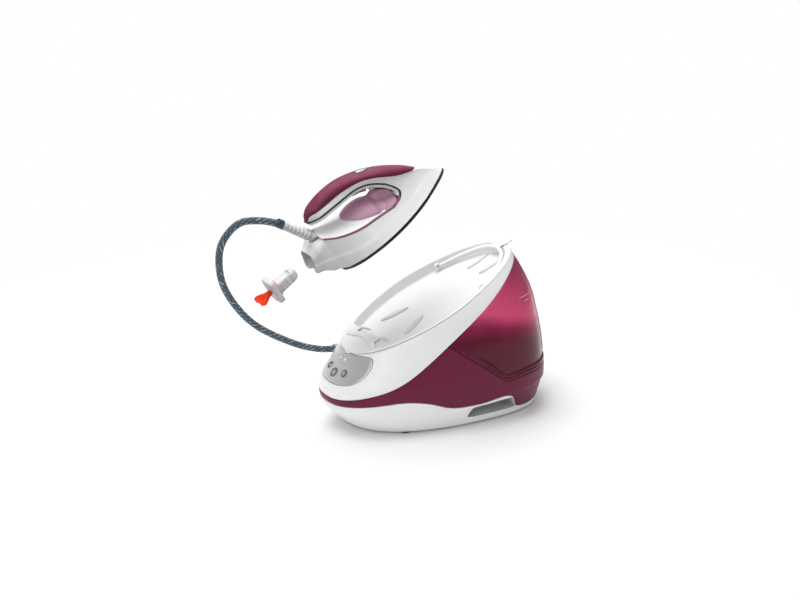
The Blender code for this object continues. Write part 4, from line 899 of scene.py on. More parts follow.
def build_pads():
    spots = (("front_left", (-31, -57), 46, 10, 0.34), ("front_right", (31, -57), 46, 10, -0.34),
             ("rear_left", (-18, 98), 44, 9, -0.05), ("rear_right", (18, 98), 44, 9, 0.05))
    dome = ((1.0, 0.1), (1.0, 1.4), (0.97, 2.2), (0.88, 2.9), (0.7, 3.35), (0.45, 3.6), (0.2, 3.7))
    for name, centre, length, width, turn in spots:
        rings = []
        for share, height in dome:
            shape = leaf(centre, length * (0.55 + 0.45 * share), width * share, turn)
            rings.append([on_rim(x, y, TRAY_FLOOR + height) for x, y in shape])
        settle(ring_mesh("pad_" + name, rings, PAD), "base", ("rest_pad_" + name,))


def tray_bar(path, wide, tall):
    """An oval bar along a path of x, y and height over the rim plane."""
    rings = []
    for i, p in enumerate(path):
        rings.append([on_rim(p.x + r.x, p.y + r.y, p.z + r.z) for r in flat_ring(wide, tall, i, path)])
    return rings


def build_heel_fork():
    """A raised bridge across the tray's front ledge with two horns that drop into the tray."""
    bar = [(-42, -131, 2.6), (-37, -130.5, 4.0), (-27, -127.5, 4.1), (-13, -123.5, 3.8), (0, -122.5, 3.7)]
    bar += [(-x, y, h) for x, y, h in bar[-2::-1]]
    fork = ring_mesh("fork", tray_bar(smooth_path(bar, 6), 4.4, 2.3), WHITE)
    horn = ((30, -130, 4.2), (29.6, -122, 4.9), (29, -115.5, 4.5), (28.6, -110.5, 0.6), (28.2, -106, -4.6),
            (28, -102.5, -9.5))
    for side in (1, -1):
        path = smooth_path([(side * x, y, h) for x, y, h in horn], 6)
        carve(fork, "fork_horn_%d" % side, tray_bar(path, 3.9, 2.1), "UNION")
    settle_cut(fork, "base", ("heel_stop",))


def flat_ring(wide, tall, index, path, sides=20):
    """An oval section square to a path, flat to the tray's plane and rounded off at the path's ends."""
    before, after = path[max(index - 1, 0)], path[min(index + 1, len(path) - 1)]
    along = (after - before).normalized()
    side = along.cross(Vector((0, 0, 1))).normalized()
    up = side.cross(along)
    end = min(index, len(path) - 1 - index)
    shrink = (0.45, 0.8, 0.95)[end] if end < 3 else 1.0
    return [shrink * (wide * math.cos(a) * side + tall * math.sin(a) * up) for a in angles(sides)]


def build_hoop():
    """The hoop round the tray's rear, with an eye at each end and a lip over the rim."""
    def before_pivot(theta):
        return rim_point(theta, HOOP_INSET, 0).y < HOOP_PIVOT_Y

    end_angle = crossing(math.radians(60), math.radians(120), before_pivot)[1]
    path = []
    for i in range(61):
        share = i / 60
        theta = end_angle + (2 * math.pi - 2 * end_angle) * share
        fall = abs(2 * share - 1) ** 1.5
        path.append(rim_point(theta, HOOP_INSET + 2 * fall, -6.0 * fall))
    rings = []
    for i, point in enumerate(path):
        before, after = path[max(i - 1, 0)], path[min(i + 1, len(path) - 1)]
        along = (after - before).normalized()
        side = along.cross(RIM_UP).normalized()
        up = side.cross(along)
        rings.append([
            point + 3.4 * signed_power(math.cos(a), 0.75) * side + 2.4 * signed_power(math.sin(a), 0.75) * up
            for a in angles(20)
        ])
    hoop = ring_mesh("hoop", rings, WHITE)
    boss = ((2.55, -2.4), (5.4, -2.4), (6.0, -1.8), (6.0, 1.8), (5.4, 2.4), (2.55, 2.4))
    for side in (1, -1):
        eye = axis_frame(on_rim(side * path[0].x, HOOP_PIVOT_Y, -6.0), (1, 0, 0))
        carve(hoop, "hoop_eye_%d" % side, turned(boss, eye, 40), "UNION", closed=True)
        carve(hoop, "hoop_bore_%d" % side, turned(rod(2.55, -6, 6), eye, 40))
    stations = ((124, 10, -1.4, 2.4), (127.5, 12, -0.8, 4.4), (130, 14, 2.9, 5.9), (136, 17, 3.1, 6.4),
                (142, 18, 3.1, 6.3), (146, 17, 1.2, 5.6), (149, 14.5, -2.5, 3.8), (151, 10, -5.4, 0.0))
    lip = []
    for y, half, low, high in stations:
        ring = []
        for a in angles(28):
            lift = (low + high) / 2 + (high - low) / 2 * signed_power(math.sin(a), 0.6)
            ring.append(on_rim(half * signed_power(math.cos(a), 0.5), y, lift))
        lip.append(ring)
    carve(hoop, "hoop_lip", lip, "UNION")
    settle_cut(hoop, "lock_hoop", ("lock_hoop",))


# ---------------------------------------------------------------- base: control panel
PANEL_SLOPE = math.radians(51.7)
PANEL_UP = Vector((0, -math.sin(PANEL_SLOPE), math.cos(PANEL_SLOPE)))
PANEL_MID_Z = 103.0
BUTTONS = (("steam_button", 0, 93, 6.2), ("eco_button", -22, 97, 4.6), ("power_button", 22, 97, 4.6))


def fine_panel(grow=0.0):
    """The panel's outline in x and z, grown outwards if asked."""
    right = ((0, 81), (16, 81.0), (31, 81.5), (46, 85), (54, 92), (57.5, 102), (57, 115), (53, 124),
             (44, 126), (24, 124), (7, 122.8), (4.5, 120.6), (0, 120.2))
    points = list(right) + [(-x, z) for x, z in right[-2:0:-1]]
    fine = []
    for x, z in rounded(points, 7.0, 4):
        away = Vector((x, (z - PANEL_MID_Z) * 1.8)).normalized() * grow
        fine.append((x + away.x, z + away.y))
    return fine


def build_panel():
    """The silver panel with its wells, the lens over the lamps, the buttons and two drop icons."""
    outline = fine_panel()
    top = ((0.12, 0.3), (0.3, 0.3), (0.5, 0.3), (0.7, 0.3), (0.85, 0.3), (0.95, 0.3), (0.985, 0.22),
           (1.0, -0.15))
    rings = []
    for share, lift in top + ((1.0, -2.4), (0.6, -2.4), (0.12, -2.4)):
        shape = [(x * share, PANEL_MID_Z + (z - PANEL_MID_Z) * share) for x, z in outline]
        rings.append([front_point(*p) + lift * PANEL_UP for p in shape])
    panel = ring_mesh("panel", rings, PANEL)
    for name, x, z, radius in BUTTONS:
        spot = axis_frame(front_point(x, z), PANEL_UP)
        carve(panel, name + "_well", turned(rod(radius + 0.9, -1.4, 9), spot))
        carve(panel, name + "_bore", turned(rod(radius + 0.35, -9, 9), spot))
    seat = axis_frame(front_point(0, 113), PANEL_UP) @ Matrix.Diagonal((1.0, 0.34, 1.0, 1.0))
    carve(panel, "lens_well", turned(rod(15.4, -0.9, 9), seat))
    settle_cut(panel, "base", ("control_panel",))
    lens = ((0, -0.55), (15, -0.55), (15, 0.1), (14.7, 0.35), (14, 0.48), (10, 0.55), (0, 0.6))
    settle(ring_mesh("lens", turned(lens, seat), LENS), "base", ("display_lens",))
    for name, x, z, radius in BUTTONS:
        build_button(name, axis_frame(front_point(x, z), PANEL_UP), radius)
    for i, x in enumerate((-7, 7)):
        drop = axis_frame(front_point(x, 113) + 0.55 * PANEL_UP, PANEL_UP)
        outline = []
        for a in angles(24):
            tall = 1.5 * math.sin(a) * (1.0 + 0.9 * max(math.sin(a), 0.0))
            outline.append(drop @ Vector((1.5 * math.cos(a), tall, 0)))
        rings = [[p + h * PANEL_UP for p in outline] for h in (-0.1, 0.14)]
        settle(ring_mesh("icon_drop_%d" % i, rings, ICON), "base")


def build_button(name, spot, radius):
    """A round cap with its icon, in a dark ring that stays on the panel."""
    cap = ((0, -6), (radius, -6), (radius, 0.4), (radius - 0.25, 0.9), (radius - 0.8, 1.25),
           (radius * 0.6, 1.0), (0, 0.85))
    settle(ring_mesh(name + "_cap", turned(cap, spot, 40), BUTTON), name, (name,))
    ring = ((radius + 0.4, -1.2), (radius + 0.85, -1.2), (radius + 1.9, 0.35), (radius + 1.6, 0.8),
            (radius + 0.5, 0.7))
    settle(ring_mesh(name + "_bezel", turned(ring, spot), DARK, closed=True), "base")
    for piece in icon_bars(spot) if name == "eco_button" else [icon_ring(spot, radius)]:
        settle(piece, name)


def icon_ring(spot, radius):
    profile = ((radius * 0.3, 0.8), (radius * 0.42, 0.8), (radius * 0.42, 1.12), (radius * 0.3, 1.12))
    name = "icon_ring_%d_%d" % (radius * 10, spot.translation.x + 50)
    return ring_mesh(name, turned(profile, spot, 32), ICON, closed=True)


def icon_bars(spot):
    """Three bars of rising height."""
    made = []
    for i, x in enumerate((-1.1, 0.0, 1.1)):
        tall = 0.9 + 0.5 * i
        outline = rounded(rectangle(x - 0.3, x + 0.3, -tall, tall), 0.25, 3)
        rings = [[spot @ Vector((p[0], p[1], h)) for p in outline] for h in (0.8, 1.12)]
        made.append(ring_mesh("icon_bar_%d" % i, rings, ICON))
    return made


# ---------------------------------------------------------------- base: hose port, tank and its fittings
HOSE_PATH = ((-9, -296, 356), (-20, -327, 352), (-31, -351, 318), (-44, -347, 263), (-54, -321, 213),
             (-64, -280, 168), (-76, -215, 125), (-83, -169, 104), (-85, -138, 97), (-84, -108, 93))
PORT_START, PORT_END = Vector(HOSE_PATH[-2]), Vector(HOSE_PATH[-1])
PORT = axis_frame(PORT_START.lerp(PORT_END, 0.3), PORT_END - PORT_START)
TANK_SHOULDER = 6.4
TANK_FLANGE = 2.4


def build_grommet():
    bore = HOSE_RADIUS + 0.9
    profile = ((bore, -8), (bore + 0.5, -8.6), (7.6, -8.4), (8.2, -7.6), (8.3, -5), (8.6, -4.6), (8.6, -3),
               (8.3, -2.6), (8.3, 0), (8.6, 0.4), (8.6, 9), (8.0, 11), (bore, 11))
    grommet = ring_mesh("grommet", turned(profile, PORT, 56), GREY, closed=True)
    settle(grommet, "base", ("hose_grommet",))


def tank_depth(theta):
    """How far the tank reaches inwards: a thin skin at the sides, a deep chamber at the rear."""
    return 9.0 + 35.0 * smooth_step(112.0, 50.0, abs(math.degrees(theta) - 180.0))


def tank_flange(theta):
    """How far the tank's foot stands out, which fades towards its front ends."""
    return TANK_FLANGE * smooth_step(100.0, 86.0, abs(math.degrees(theta) - 180.0))


def tank_front_angle():
    """The angle at which the tank's lower edge comes up to its upper edge."""
    def too_narrow(theta):
        y = body_point(theta, on_line(theta, cover_height)).y
        return seam_height(y) > cover_height(y) - 2.6

    return crossing(math.radians(50), math.radians(90), too_narrow)[1]


def build_tank():
    """The tank: a skin with a ridged foot, closed behind by the chamber's inner wall."""
    start = tank_front_angle()
    step = 2 * math.pi / (AROUND * 2)
    thetas = [i * step for i in range(AROUND * 2)]
    thetas = [theta for theta in thetas if start + 0.01 < theta < 2 * math.pi - start - 0.01]
    thetas = [start] + thetas + [2 * math.pi - start]
    ridges = ((0.0, 0.7), (0.15, 0.25), (0.6, 0.0), (3.6, 0.0), (4.2, 0.3), (4.6, 1.3), (5.2, 1.3),
              (5.6, 0.2), (6.2, -0.5), (9.0, -0.5), (9.8, -0.1), (10.6, 1.0))
    columns = []
    for theta in thetas:
        low = on_line(theta, seam_height) + SHUT_GAP
        high = on_line(theta, cover_height) - SHUT_GAP
        flange = tank_flange(theta)
        foot = min(1.0, (high - low) / 24.0)
        column = []
        for height, inset in ridges:
            lip = inset if height < 1.0 else inset * flange / TANK_FLANGE
            column.append(body_point(theta, low + height * foot, lip - flange))
        rest = low + 11.6 * foot
        for row in range(27):
            z = rest + (high - 1.0 - rest) * row / 26
            column.append(body_point(theta, z, 0.0 - rib(theta, z, rest, high)))
        column += [body_point(theta, high - d, inset) for d, inset in EDGE[1::-1]]
        column += [body_point(theta, high, TANK_SHOULDER)]
        depth = max(tank_depth(theta), TANK_SHOULDER + 2.2)
        section = ((TANK_SHOULDER + 1.6, 1.0), (depth, 1.0), (depth, 0.66), (depth, 0.33), (depth, 0.0))
        for inset, share in section:
            point = body_point(theta, low + (high - low) * share, inset)
            ceiling = max(min(high - 0.2, rim_height(point.y) - 20.9), low + 0.2 * (high - low))
            column.append(body_point(theta, low + (ceiling - low) * share, inset))
        columns.append(column)
    rings = [list(ring) for ring in zip(*columns)]
    size, count = len(thetas), len(rings)
    points = [p for ring in rings for p in ring]
    faces = []
    for i in range(count):
        n = (i + 1) % count
        for j in range(size - 1):
            faces.append((i * size + j, i * size + j + 1, n * size + j + 1, n * size + j))
    faces.append(tuple(i * size for i in range(count)))
    faces.append(tuple(i * size + size - 1 for i in range(count)))
    tank = finish_mesh("tank", points, faces, TANK)
    settle(tank, "water_tank", ("water_tank",))
    for i, (height, reach) in enumerate(((191.5, 0.17), (184.5, 0.07))):
        outer, inner = [], []
        for row in range(2):
            z = height + row * 1.1
            span = [math.radians(121.5) - reach + 2 * reach * k / 14 for k in range(15)]
            outer.append([body_point(theta, z, -0.22) for theta in span])
            inner.append([body_point(theta, z, 0.1) for theta in span])
        settle(slab_mesh("level_mark_%d" % i, outer, inner, SEAL_PINK), "water_tank")


def rib(theta, z, low, high):
    """A raised strip up each rear corner of the tank."""
    away = abs(abs(math.degrees(theta) - 180.0) - 33.0)
    ends = smooth_step(low, low + 6, z) * smooth_step(high - 1, high - 6, z)
    return 1.5 * smooth_step(3.4, 2.2, away) * ends


def rear_point(x, z, inset=0.0):
    """The point of the base's rear face at this x and height."""
    rear = value_on(REAR_CURVE, z) - inset
    half = value_on(WIDTH_CURVE, z) - inset
    side = min(abs(x) / half, 1.0)
    return Vector((x, PLAN_MID_Y + (rear - PLAN_MID_Y) * (1 - side**REAR_POWER) ** (1 / REAR_POWER), z))


def build_lid():
    """The filler's lid, with rounded edges and a shallow finger scoop."""
    outer, inner = [], []
    rows, columns = 15, 23
    for i in range(rows):
        v = i / (rows - 1)
        z = 188 + 34 * v
        outer.append([])
        inner.append([])
        for j in range(columns):
            u = j / (columns - 1)
            x = -26 + 52 * u
            edge = min(u, 1 - u) * 52, min(v, 1 - v) * 34
            fall = 1.6 * (max(0.0, 1 - edge[0] / 2.4) ** 2 + max(0.0, 1 - edge[1] / 2.4) ** 2)
            scoop = 0.9 * math.exp(-((x / 9) ** 2 + ((z - 196) / 5) ** 2))
            outer[-1].append(rear_point(x, z, -2.9 + min(fall, 2.0) + scoop))
            inner[-1].append(rear_point(x, z, -0.5))
    settle(slab_mesh("lid", outer, inner, TANK), "tank_lid", ("tank_lid",))


def build_latch():
    """The latch's press bar and the coil spring behind it."""
    high = body_point(math.pi, LATCH_Z).y + 1.4
    outline = rounded(rectangle(-20.5, 20.5, 50, 62), 2.2)
    rings = []
    for share, y in ((1.0, 176.0), (1.0, high - 1.4), (0.985, high - 0.6), (0.95, high - 0.15), (0.88, high)):
        rings.append([Vector((x * share, y, LATCH_Z + (z - LATCH_Z) * share)) for x, z in outline])
    settle(ring_mesh("latch", rings, SHELL), "tank_latch", ("tank_latch",))
    low, high = (Vector(corner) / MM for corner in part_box("latch_spring"))
    coils, turns = [], 5
    for i in range(turns * 20 + 1):
        a = 2 * math.pi * i / 20
        y = low.y + 0.8 + (high.y - low.y - 1.6) * i / (turns * 20)
        coils.append(Vector((5 * math.cos(a), y, LATCH_Z + 5 * math.sin(a))))
    spring = ring_mesh("spring", sweep_rings(coils, 0.6, 10), LOOKS["stainless_steel"])
    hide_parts("latch_spring")
    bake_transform(spring)


# ---------------------------------------------------------------- iron: frame and curves
def iron_frame():
    """The iron's own frame, from its collector's slide axis and its cord pivot."""
    along = Vector(JOINTS["collector_slide"]["axis"])
    turn = Matrix.Rotation(math.atan2(along.z, along.y), 4, "X")
    pivot = Vector(JOINTS["iron_tilt"]["pos_m"]) / MM
    return Matrix.Translation(pivot - turn @ CORD_PIVOT) @ turn


IRON = iron_frame()
GUARD = IRON @ axis_frame(CORD_PIVOT, (0, -0.51, 0.86))


def in_iron(rings):
    return [[IRON @ Vector(p) for p in ring] for ring in rings]


def across_iron(outline, places):
    """A side-view outline of the iron, repeated across it."""
    return in_iron([[(x, y, z) for y, z in outline] for x in places])


def up_iron(outline, heights):
    """A plan outline of the iron, repeated over some heights."""
    return in_iron([[(x, y, z) for x, y in outline] for z in heights])


def seat_height(y):
    return value_on(SEAT_TOP, y) if y > -116.5 else value_on(HOUSING_TOP, y)


def handle_tail(y):
    """How much of its width the handle keeps towards its rear end."""
    return 1 - 0.64 * smooth_step(-96.0, -118.0, y)


def side_reach(y, z, inset=0.0):
    """Half width of the iron's outer form at this station and height."""
    low, high = value_on(UNDERSIDE, y), seat_height(max(y, -115.0))
    share = min(max((z - low) / (high - low), 0.0), 1.0)
    top, bottom = value_on(HANDLE_HALF, y), value_on(SKIRT_HALF, y)
    top *= 1 - (1 - handle_tail(y)) * smooth_step(68.0, 86.0, z)
    return top + (bottom - top) * (1 - share) ** value_on(SIDE_POWER, y) - inset


def crease(y, z):
    """A soft step along the flank: the skirt below it stands slightly proud."""
    line = 20.0 + 12.0 * smooth_step(-60.0, -150.0, y)
    return 0.9 * smooth_step(line + 2.5, line - 2.5, z) * smooth_step(105.0, 60.0, y)


def body_ring(y, levels=44):
    """The iron's section at a station, from its underside up one flank and down the other."""
    low, high = value_on(UNDERSIDE, y), seat_height(y)
    right = [(0.0, low)]
    corner = 2.2 if y < -112 else 0.7
    for a in (0.0, 0.35, 0.7, 1.05, 1.3):
        height = low + corner * (1 - math.cos(a))
        reach = side_reach(y, low + corner, 0.0) - corner * (1 - math.sin(a))
        right.append((reach, height))
    for i in range(levels + 1):
        z = low + corner + (high - corner - low) * i / levels
        right.append((side_reach(y, z) + crease(y, z), z))
    soft = 3.0 if y < -112 else 1.0
    ring = []
    for x, z in right:
        if z > high - soft and y > -116:
            x -= 0.7 * ((z - (high - soft)) / soft) ** 2
        if y < -112 and z > high - 11.0:
            x -= 4.4 * ((z - (high - 11.0)) / 11.0) ** 2.2 * smooth_step(-112.0, -118.0, y)
        lean = 7.0 * min(max((z - 20.0) / 32.0, 0.0), 1.1) * smooth_step(-126.0, -150.0, y)
        ring.append(Vector((max(x, 0.3) if z > low else x, y + lean, z)))
    middle = [Vector((0, ring[-1].y, high + (0.6 if y > -116 else 0.8)))]
    return ring + middle + [Vector((-p.x, p.y, p.z)) for p in ring[:0:-1]]


def eye_path(step=2.5):
    """The hand opening in side view: along its upper edge, down its front and back along the deck."""
    upper = []
    y = -117.0
    while y < 17:
        upper.append((y, value_on(EYE_UPPER, y)))
        y += step
    front = smooth_path(EYE_FRONT, 8)
    lower = []
    y = 5.0 - step
    while y > -117:
        lower.append((y, value_on(EYE_LOWER, y)))
        y -= step
    return upper + [(p.x, p.y) for p in front] + lower


def eye_front(path, height):
    """How many points of the path lie before its front wall comes down to this height."""
    return next(i for i, (y, z) in enumerate(path) if y > 4 and z < height)


def offset_path(path, offset):
    moved = []
    for i, (y, z) in enumerate(path):
        before, after = path[max(i - 1, 0)], path[min(i + 1, len(path) - 1)]
        along = Vector((after[0] - before[0], after[1] - before[1])).normalized()
        moved.append((y + along.y * offset, z - along.x * offset))
    return moved


def ribbon(name, path, offsets, reach, look, crown=0.25):
    """A strip across the iron along a side-view path, with its side edges rounded."""
    shares = (0.0, 0.12, 0.3, 0.5, 0.7, 0.88, 1.0)
    rows = [offset_path(path, offsets[0] + (offsets[1] - offsets[0]) * s) for s in shares]
    rings = []
    for i in range(len(path)):
        right = []
        for share, row in zip(shares, rows):
            y, z = row[i]
            right.append(Vector((reach(y, z) + crown * (1 - (2 * share - 1) ** 4), y, z)))
        rings.append(right + [Vector((-p.x, p.y, p.z)) for p in right[::-1]])
    return ring_mesh(name, in_iron(rings), look)


# ---------------------------------------------------------------- iron: casing
def build_iron_body():
    stations = [-150 + 0.5 * i for i in range(4)] + [-148 + 2.0 * i for i in range(14)]
    stations += [-119.5 + 0.75 * i for i in range(12)] + [-110 + 2.5 * i for i in range(91)] + [118, 119]
    body = ring_mesh("iron_shell", in_iron([body_ring(y) for y in stations]), WHITE_IRON_PAINTED_SHADE)
    carve(body, "eye_hole", across_iron([(-165, 89)] + eye_path() + [(-165, 60.8), (-165, 75)], (-90, 90)))
    mouth = []
    for y, inset in ((-156, 2.0), (-150, 2.1), (-140, 2.6), (-128, 3.2), (-119, 6.0), (-112, 9.0)):
        low, high = 20.8, value_on(HOUSING_TOP, y) - 3.0
        right = []
        for i in range(15):
            z = low + (high - low) * i / 14
            round_off = 3.0 * max(0.0, 1 - (z - low) / 4.0) ** 2 + 4.6 * max(0.0, 1 - (high - z) / 7.0) ** 2
            right.append(Vector((max(side_reach(y, z) - inset - round_off, 1.0), y, z)))
        mouth.append(right + [Vector((-p.x, p.y, p.z)) for p in right[::-1]])
    carve(body, "mouth_hole", in_iron(mouth))
    notch = rounded(((-9, 12), (9, 12), (7, 22.5), (-7, 22.5)), 1.5)
    carve(body, "mouth_notch", in_iron([[(x, y, z) for x, z in notch] for y in (-158, -146.5)]))
    carve(body, "body_socket", turned(SOCKET, GUARD))
    carve(body, "boost_pocket", turned(rod(8.6, -30, 30), BOOST))
    carve(body, "switch_pocket", up_iron(switch_pocket(), (78, 120)))
    settle_cut(body, "iron", ("iron_body",))


def switch_pocket():
    """The opening for the trigger's switch, in plan."""
    return rounded(rectangle(-6.6, 6.6, -33, -17), 1.0)


def trim_reach(y, z):
    return side_reach(y, z) + crease(y, z) + 0.15


def liner_reach(y, z):
    return side_reach(y, z) - 2.2


def build_eye_lining():
    """The dark and pink lines round the hand opening and the white liner inside its upper part."""
    path = eye_path()
    turn, foot = eye_front(path, 32.4), eye_front(path, 31.6)
    black = ribbon("trim_black", path[:turn], (-0.5, 2.1), trim_reach, BLACK_TRIM, 0.45)
    pink = ribbon("trim_pink", path[turn - 1:], (-0.5, 1.7), trim_reach, PINK_TRIM, 0.45)
    carve(black, "trim_pocket", up_iron(switch_pocket(), (70, 120)))
    carve(pink, "trim_socket", turned(SOCKET, GUARD))
    settle_cut(black, "iron", ("eye_trim",))
    settle_cut(pink, "iron", ("eye_trim",))
    liner = ribbon("liner", path[1:foot], (2.2, 6.4), liner_reach, WHITE_IRON_PAINTED_SHADE, 0.2)
    web = rounded(((-7.4, 75), (3, 70), (4, 58.5), (-1.5, 57.5), (-4.5, 63)), 1.0)
    carve(liner, "web", across_iron(web, (-3.2, 3.2)), "UNION")
    slot = rounded(rectangle(-8.6, 8.6, -36, -8), 1.5)
    carve(liner, "trigger_slot", up_iron(slot, (66, 96)))
    settle_cut(liner, "iron", ("handle_underside",))


def deck_top(x, y):
    """Height of the deck cover: raised along its middle, down to the opening's lower edge at the sides."""
    edge = value_on(EYE_LOWER, y)
    half = side_reach(y, edge) - 1.0
    return edge + 4.0 + 8.0 * (1 - min(abs(x) / half, 1.0) ** 2)


def build_deck():
    rings = []
    y = -116.0
    while y <= 1.0:
        edge = value_on(EYE_LOWER, y)
        half = side_reach(y, edge) - 1.0
        ring = []
        for i in range(41):
            x = half * (1 - i / 20)
            fold = 0.35 * math.exp(-((abs(x) - half * 0.62) / 1.2) ** 2) * smooth_step(-60, -90, y)
            ring.append(Vector((x, y, deck_top(x, y) - fold)))
        ring += [Vector((-half, y, edge + 2.6)), Vector((half, y, edge + 2.6))]
        rings.append(ring)
        y += 1.5
    deck = ring_mesh("deck", in_iron(rings), WHITE)
    carve(deck, "deck_socket", turned(SOCKET, GUARD))
    settle_cut(deck, "iron", ("deck_cover",), bevel=0.5)


INSERT_HALF = ((-67, 0.3), (-65.5, 8), (-61, 17.5), (-52, 27.5), (-38, 35), (-24, 38.3), (-10, 38.4),
               (2, 37.2), (10, 35.6), (16, 30.5), (20.5, 19), (22, 0.3))
INSERT_MID_Y = -15
INSERT_CROWN = ((-67, 54.5), (-60, 57.5), (-50, 59.5), (-36, 60), (-19, 57), (-9, 55), (21, 55))
EYE_CEILING = ((-20, 78), (4, 65.5), (9, 59.5), (12, 56), (16, 50.5), (21, 44), (23, 40))


def insert_floor(x, y):
    if y < 1:
        return min(deck_top(x, y), insert_top(x, y) - 1.0) + 0.35
    return 31.4


def insert_top(x, y):
    """A dome behind, a waist, and a lobe that climbs to the eye's front wall and falls away to the sides."""
    half = max(value_on(INSERT_HALF, y), 0.3)
    edge = deck_top(half, min(y, 1.0)) + 1.2
    dome = edge + (value_on(INSERT_CROWN, y) - edge) * (1 - min(abs(x) / half, 1.0) ** 2) ** 0.75
    seat = deck_top(x, min(y, 1.0)) + 0.8 - 3.0 * smooth_step(6.0, 20.0, y)
    lobe = max(60.5 - 0.07 * x * x, seat)
    waist = 4.0 * math.exp(-(((y + 7 + 0.2 * abs(x)) / 5.5) ** 2)) * smooth_step(3.0, 14.0, abs(x))
    climb = smooth_step(-15.0, 6.0, y)
    return min(dome + (lobe - dome) * climb - waist, value_on(EYE_CEILING, y) - 0.4)


def build_insert():
    """The pad on the deck: a domed oval behind and a saddle in front that meets the eye's front wall."""
    outline = []
    for a in angles(128):
        y = -23.0 - 44.0 * math.cos(a)
        outline.append((math.copysign(max(value_on(INSERT_HALF, y), 0.3), math.sin(a)), y))
    rings = []
    for spread in (0.1, 0.4, 0.7, 0.9, 0.985):
        rings.append([(x, y, insert_floor(x, y)) for x, y in drawn_in(outline, spread)])
    for i in range(48):
        spread = (1 - (i / 48) ** 1.5) if i else 1.0
        soft = 0.8 * (1 - min((1 - spread) / 0.03, 1.0)) ** 2
        ring = []
        for x, y in drawn_in(outline, spread):
            ring.append((x, y, max(insert_top(x, y) - soft, insert_floor(x, y) + 0.3)))
        rings.append(ring)
    pad = ring_mesh("insert", in_iron(rings), INSERT, smooth=60)
    settle(pad, "iron", ("deck_insert",))


def drawn_in(outline, spread):
    """The pad's outline, drawn in towards its middle."""
    return [(x * spread, INSERT_MID_Y + (y - INSERT_MID_Y) * spread) for x, y in outline]


def grip_half(y):
    """Half width of the grip, rounded off at its nose and tail."""
    nose = max(0.0, min(1.0, (79.0 - y) / 9.0)) ** 0.5
    tail = max(0.0, min(1.0, (y + 118.0) / 5.0)) ** 0.5
    return (value_on(HANDLE_HALF, y) + 0.7) * min(nose, 1.0) * handle_tail(y) * (0.2 + 0.8 * tail)


def build_grip():
    """The soft grip along the handle's back, with a shallow groove down its front half."""
    stations = [-117 + 0.6 * i for i in range(14)] + [-108 + 2.0 * i for i in range(88)]
    stations += [68.5 + 1.0 * i for i in range(10)] + [78.8]
    sweep = [math.pi * i / 48 for i in range(49)]
    sweep = sorted(sweep + [math.pi / 2 + d for d in (-0.045, -0.02, 0.02, 0.045)])
    rings = []
    for y in stations:
        seat = value_on(SEAT_TOP, y) + 0.45
        half = grip_half(y)
        rise = max(value_on(GRIP_TOP, y) - seat, 0.7)
        ring = []
        for a in sweep:
            groove = 0.55 * math.exp(-((a - math.pi / 2) * half / 0.7) ** 2)
            groove = groove * smooth_step(14.0, 18.0, y) * smooth_step(72.0, 66.0, y)
            ring.append(Vector((half * math.cos(a), y, seat + (rise * abs(math.sin(a)) ** 0.8) - groove)))
        rings.append(ring)
    grip = ring_mesh("grip", in_iron(rings), GRIP, smooth=50)
    carve(grip, "boost_well", turned(rod(8.4, -30, 30), BOOST))
    settle_cut(grip, "iron", ("handle_grip",), bevel=0.3)


def boost_frame():
    """Where the boost button sits, square to the grip's slope and stretched to an oval."""
    slope = math.atan2(value_on(GRIP_TOP, 12) - value_on(GRIP_TOP, -10), 22.0)
    spot = axis_frame((0, 1, value_on(GRIP_TOP, 1)), (0, -math.sin(slope), math.cos(slope)))
    return IRON @ spot @ Matrix.Diagonal((0.8, 1.35, 1.0, 1.0))


BOOST = boost_frame()


def build_controls():
    """The trigger under the handle and the button on top of it."""
    outline = rounded(
        ((-34, 74.2), (-22, 71.4), (-10.5, 66.2), (-8.6, 69.4), (-10.0, 74.2), (-22, 79.4), (-34, 81.8)), 1.8
    )
    rings = []
    for x, share in ((-7.6, 0.75), (-7.2, 0.93), (-6.4, 1.0), (6.4, 1.0), (7.2, 0.93), (7.6, 0.75)):
        shape = [(-22 + (y + 22) * (0.9 + 0.1 * share), 76.6 + (z - 76.6) * share) for y, z in outline]
        rings.append([(x, y, z) for y, z in shape])
    trigger = ring_mesh("trigger", in_iron(rings), TRIGGER_RED)
    settle(trigger, "steam_trigger", ("steam_trigger",))
    cap = ((0, -7), (7.8, -7), (7.8, -0.2), (7.5, 0.5), (6.7, 1.2), (5.2, 1.7), (3.0, 1.95), (0, 2.0))
    button = ring_mesh("boost_cap", turned(cap, BOOST, 56), CHROME)
    settle(button, "boost_button", ("boost_button",))


def build_sole():
    """The coated soleplate with its steam vents in two rows."""
    outline = []
    y = -116.0
    while y < 118:
        outline.append((value_on(SOLE_HALF, y), y))
        y += 3.0
    outline += [(value_on(SOLE_HALF, 118.0), 118.0), (1.3, 119.6), (0.0, 120.1)]
    outline = rounded(outline + [(-x, y) for x, y in outline[-2::-1]], 3.0, 2)
    rings = []
    for inset, z in ((3.0, 0.0), (1.2, 0.05), (0.35, 0.45), (0.0, 1.1), (0.0, 4.2), (0.25, 4.8), (0.8, 5.0)):
        rings.append([(x * (1 - inset / 58.0), y - inset * y / 118.0, z) for x, y in outline])
    sole = ring_mesh("sole", in_iron(rings), SOLE)
    vent = ((0, -2), (2.2, -2), (1.7, 0.4), (1.7, 8), (0, 8))
    for row, (y, spread) in enumerate(((88, 6), (66, 14), (40, 24), (10, 33), (-30, 38), (-66, 36))):
        for side in (1, -1):
            hole = IRON @ Matrix.Translation(Vector((side * spread, y, 0)))
            carve(sole, "vent_%d_%d" % (row, side), turned(vent, hole, 20))
    settle_cut(sole, "iron", ("soleplate",))


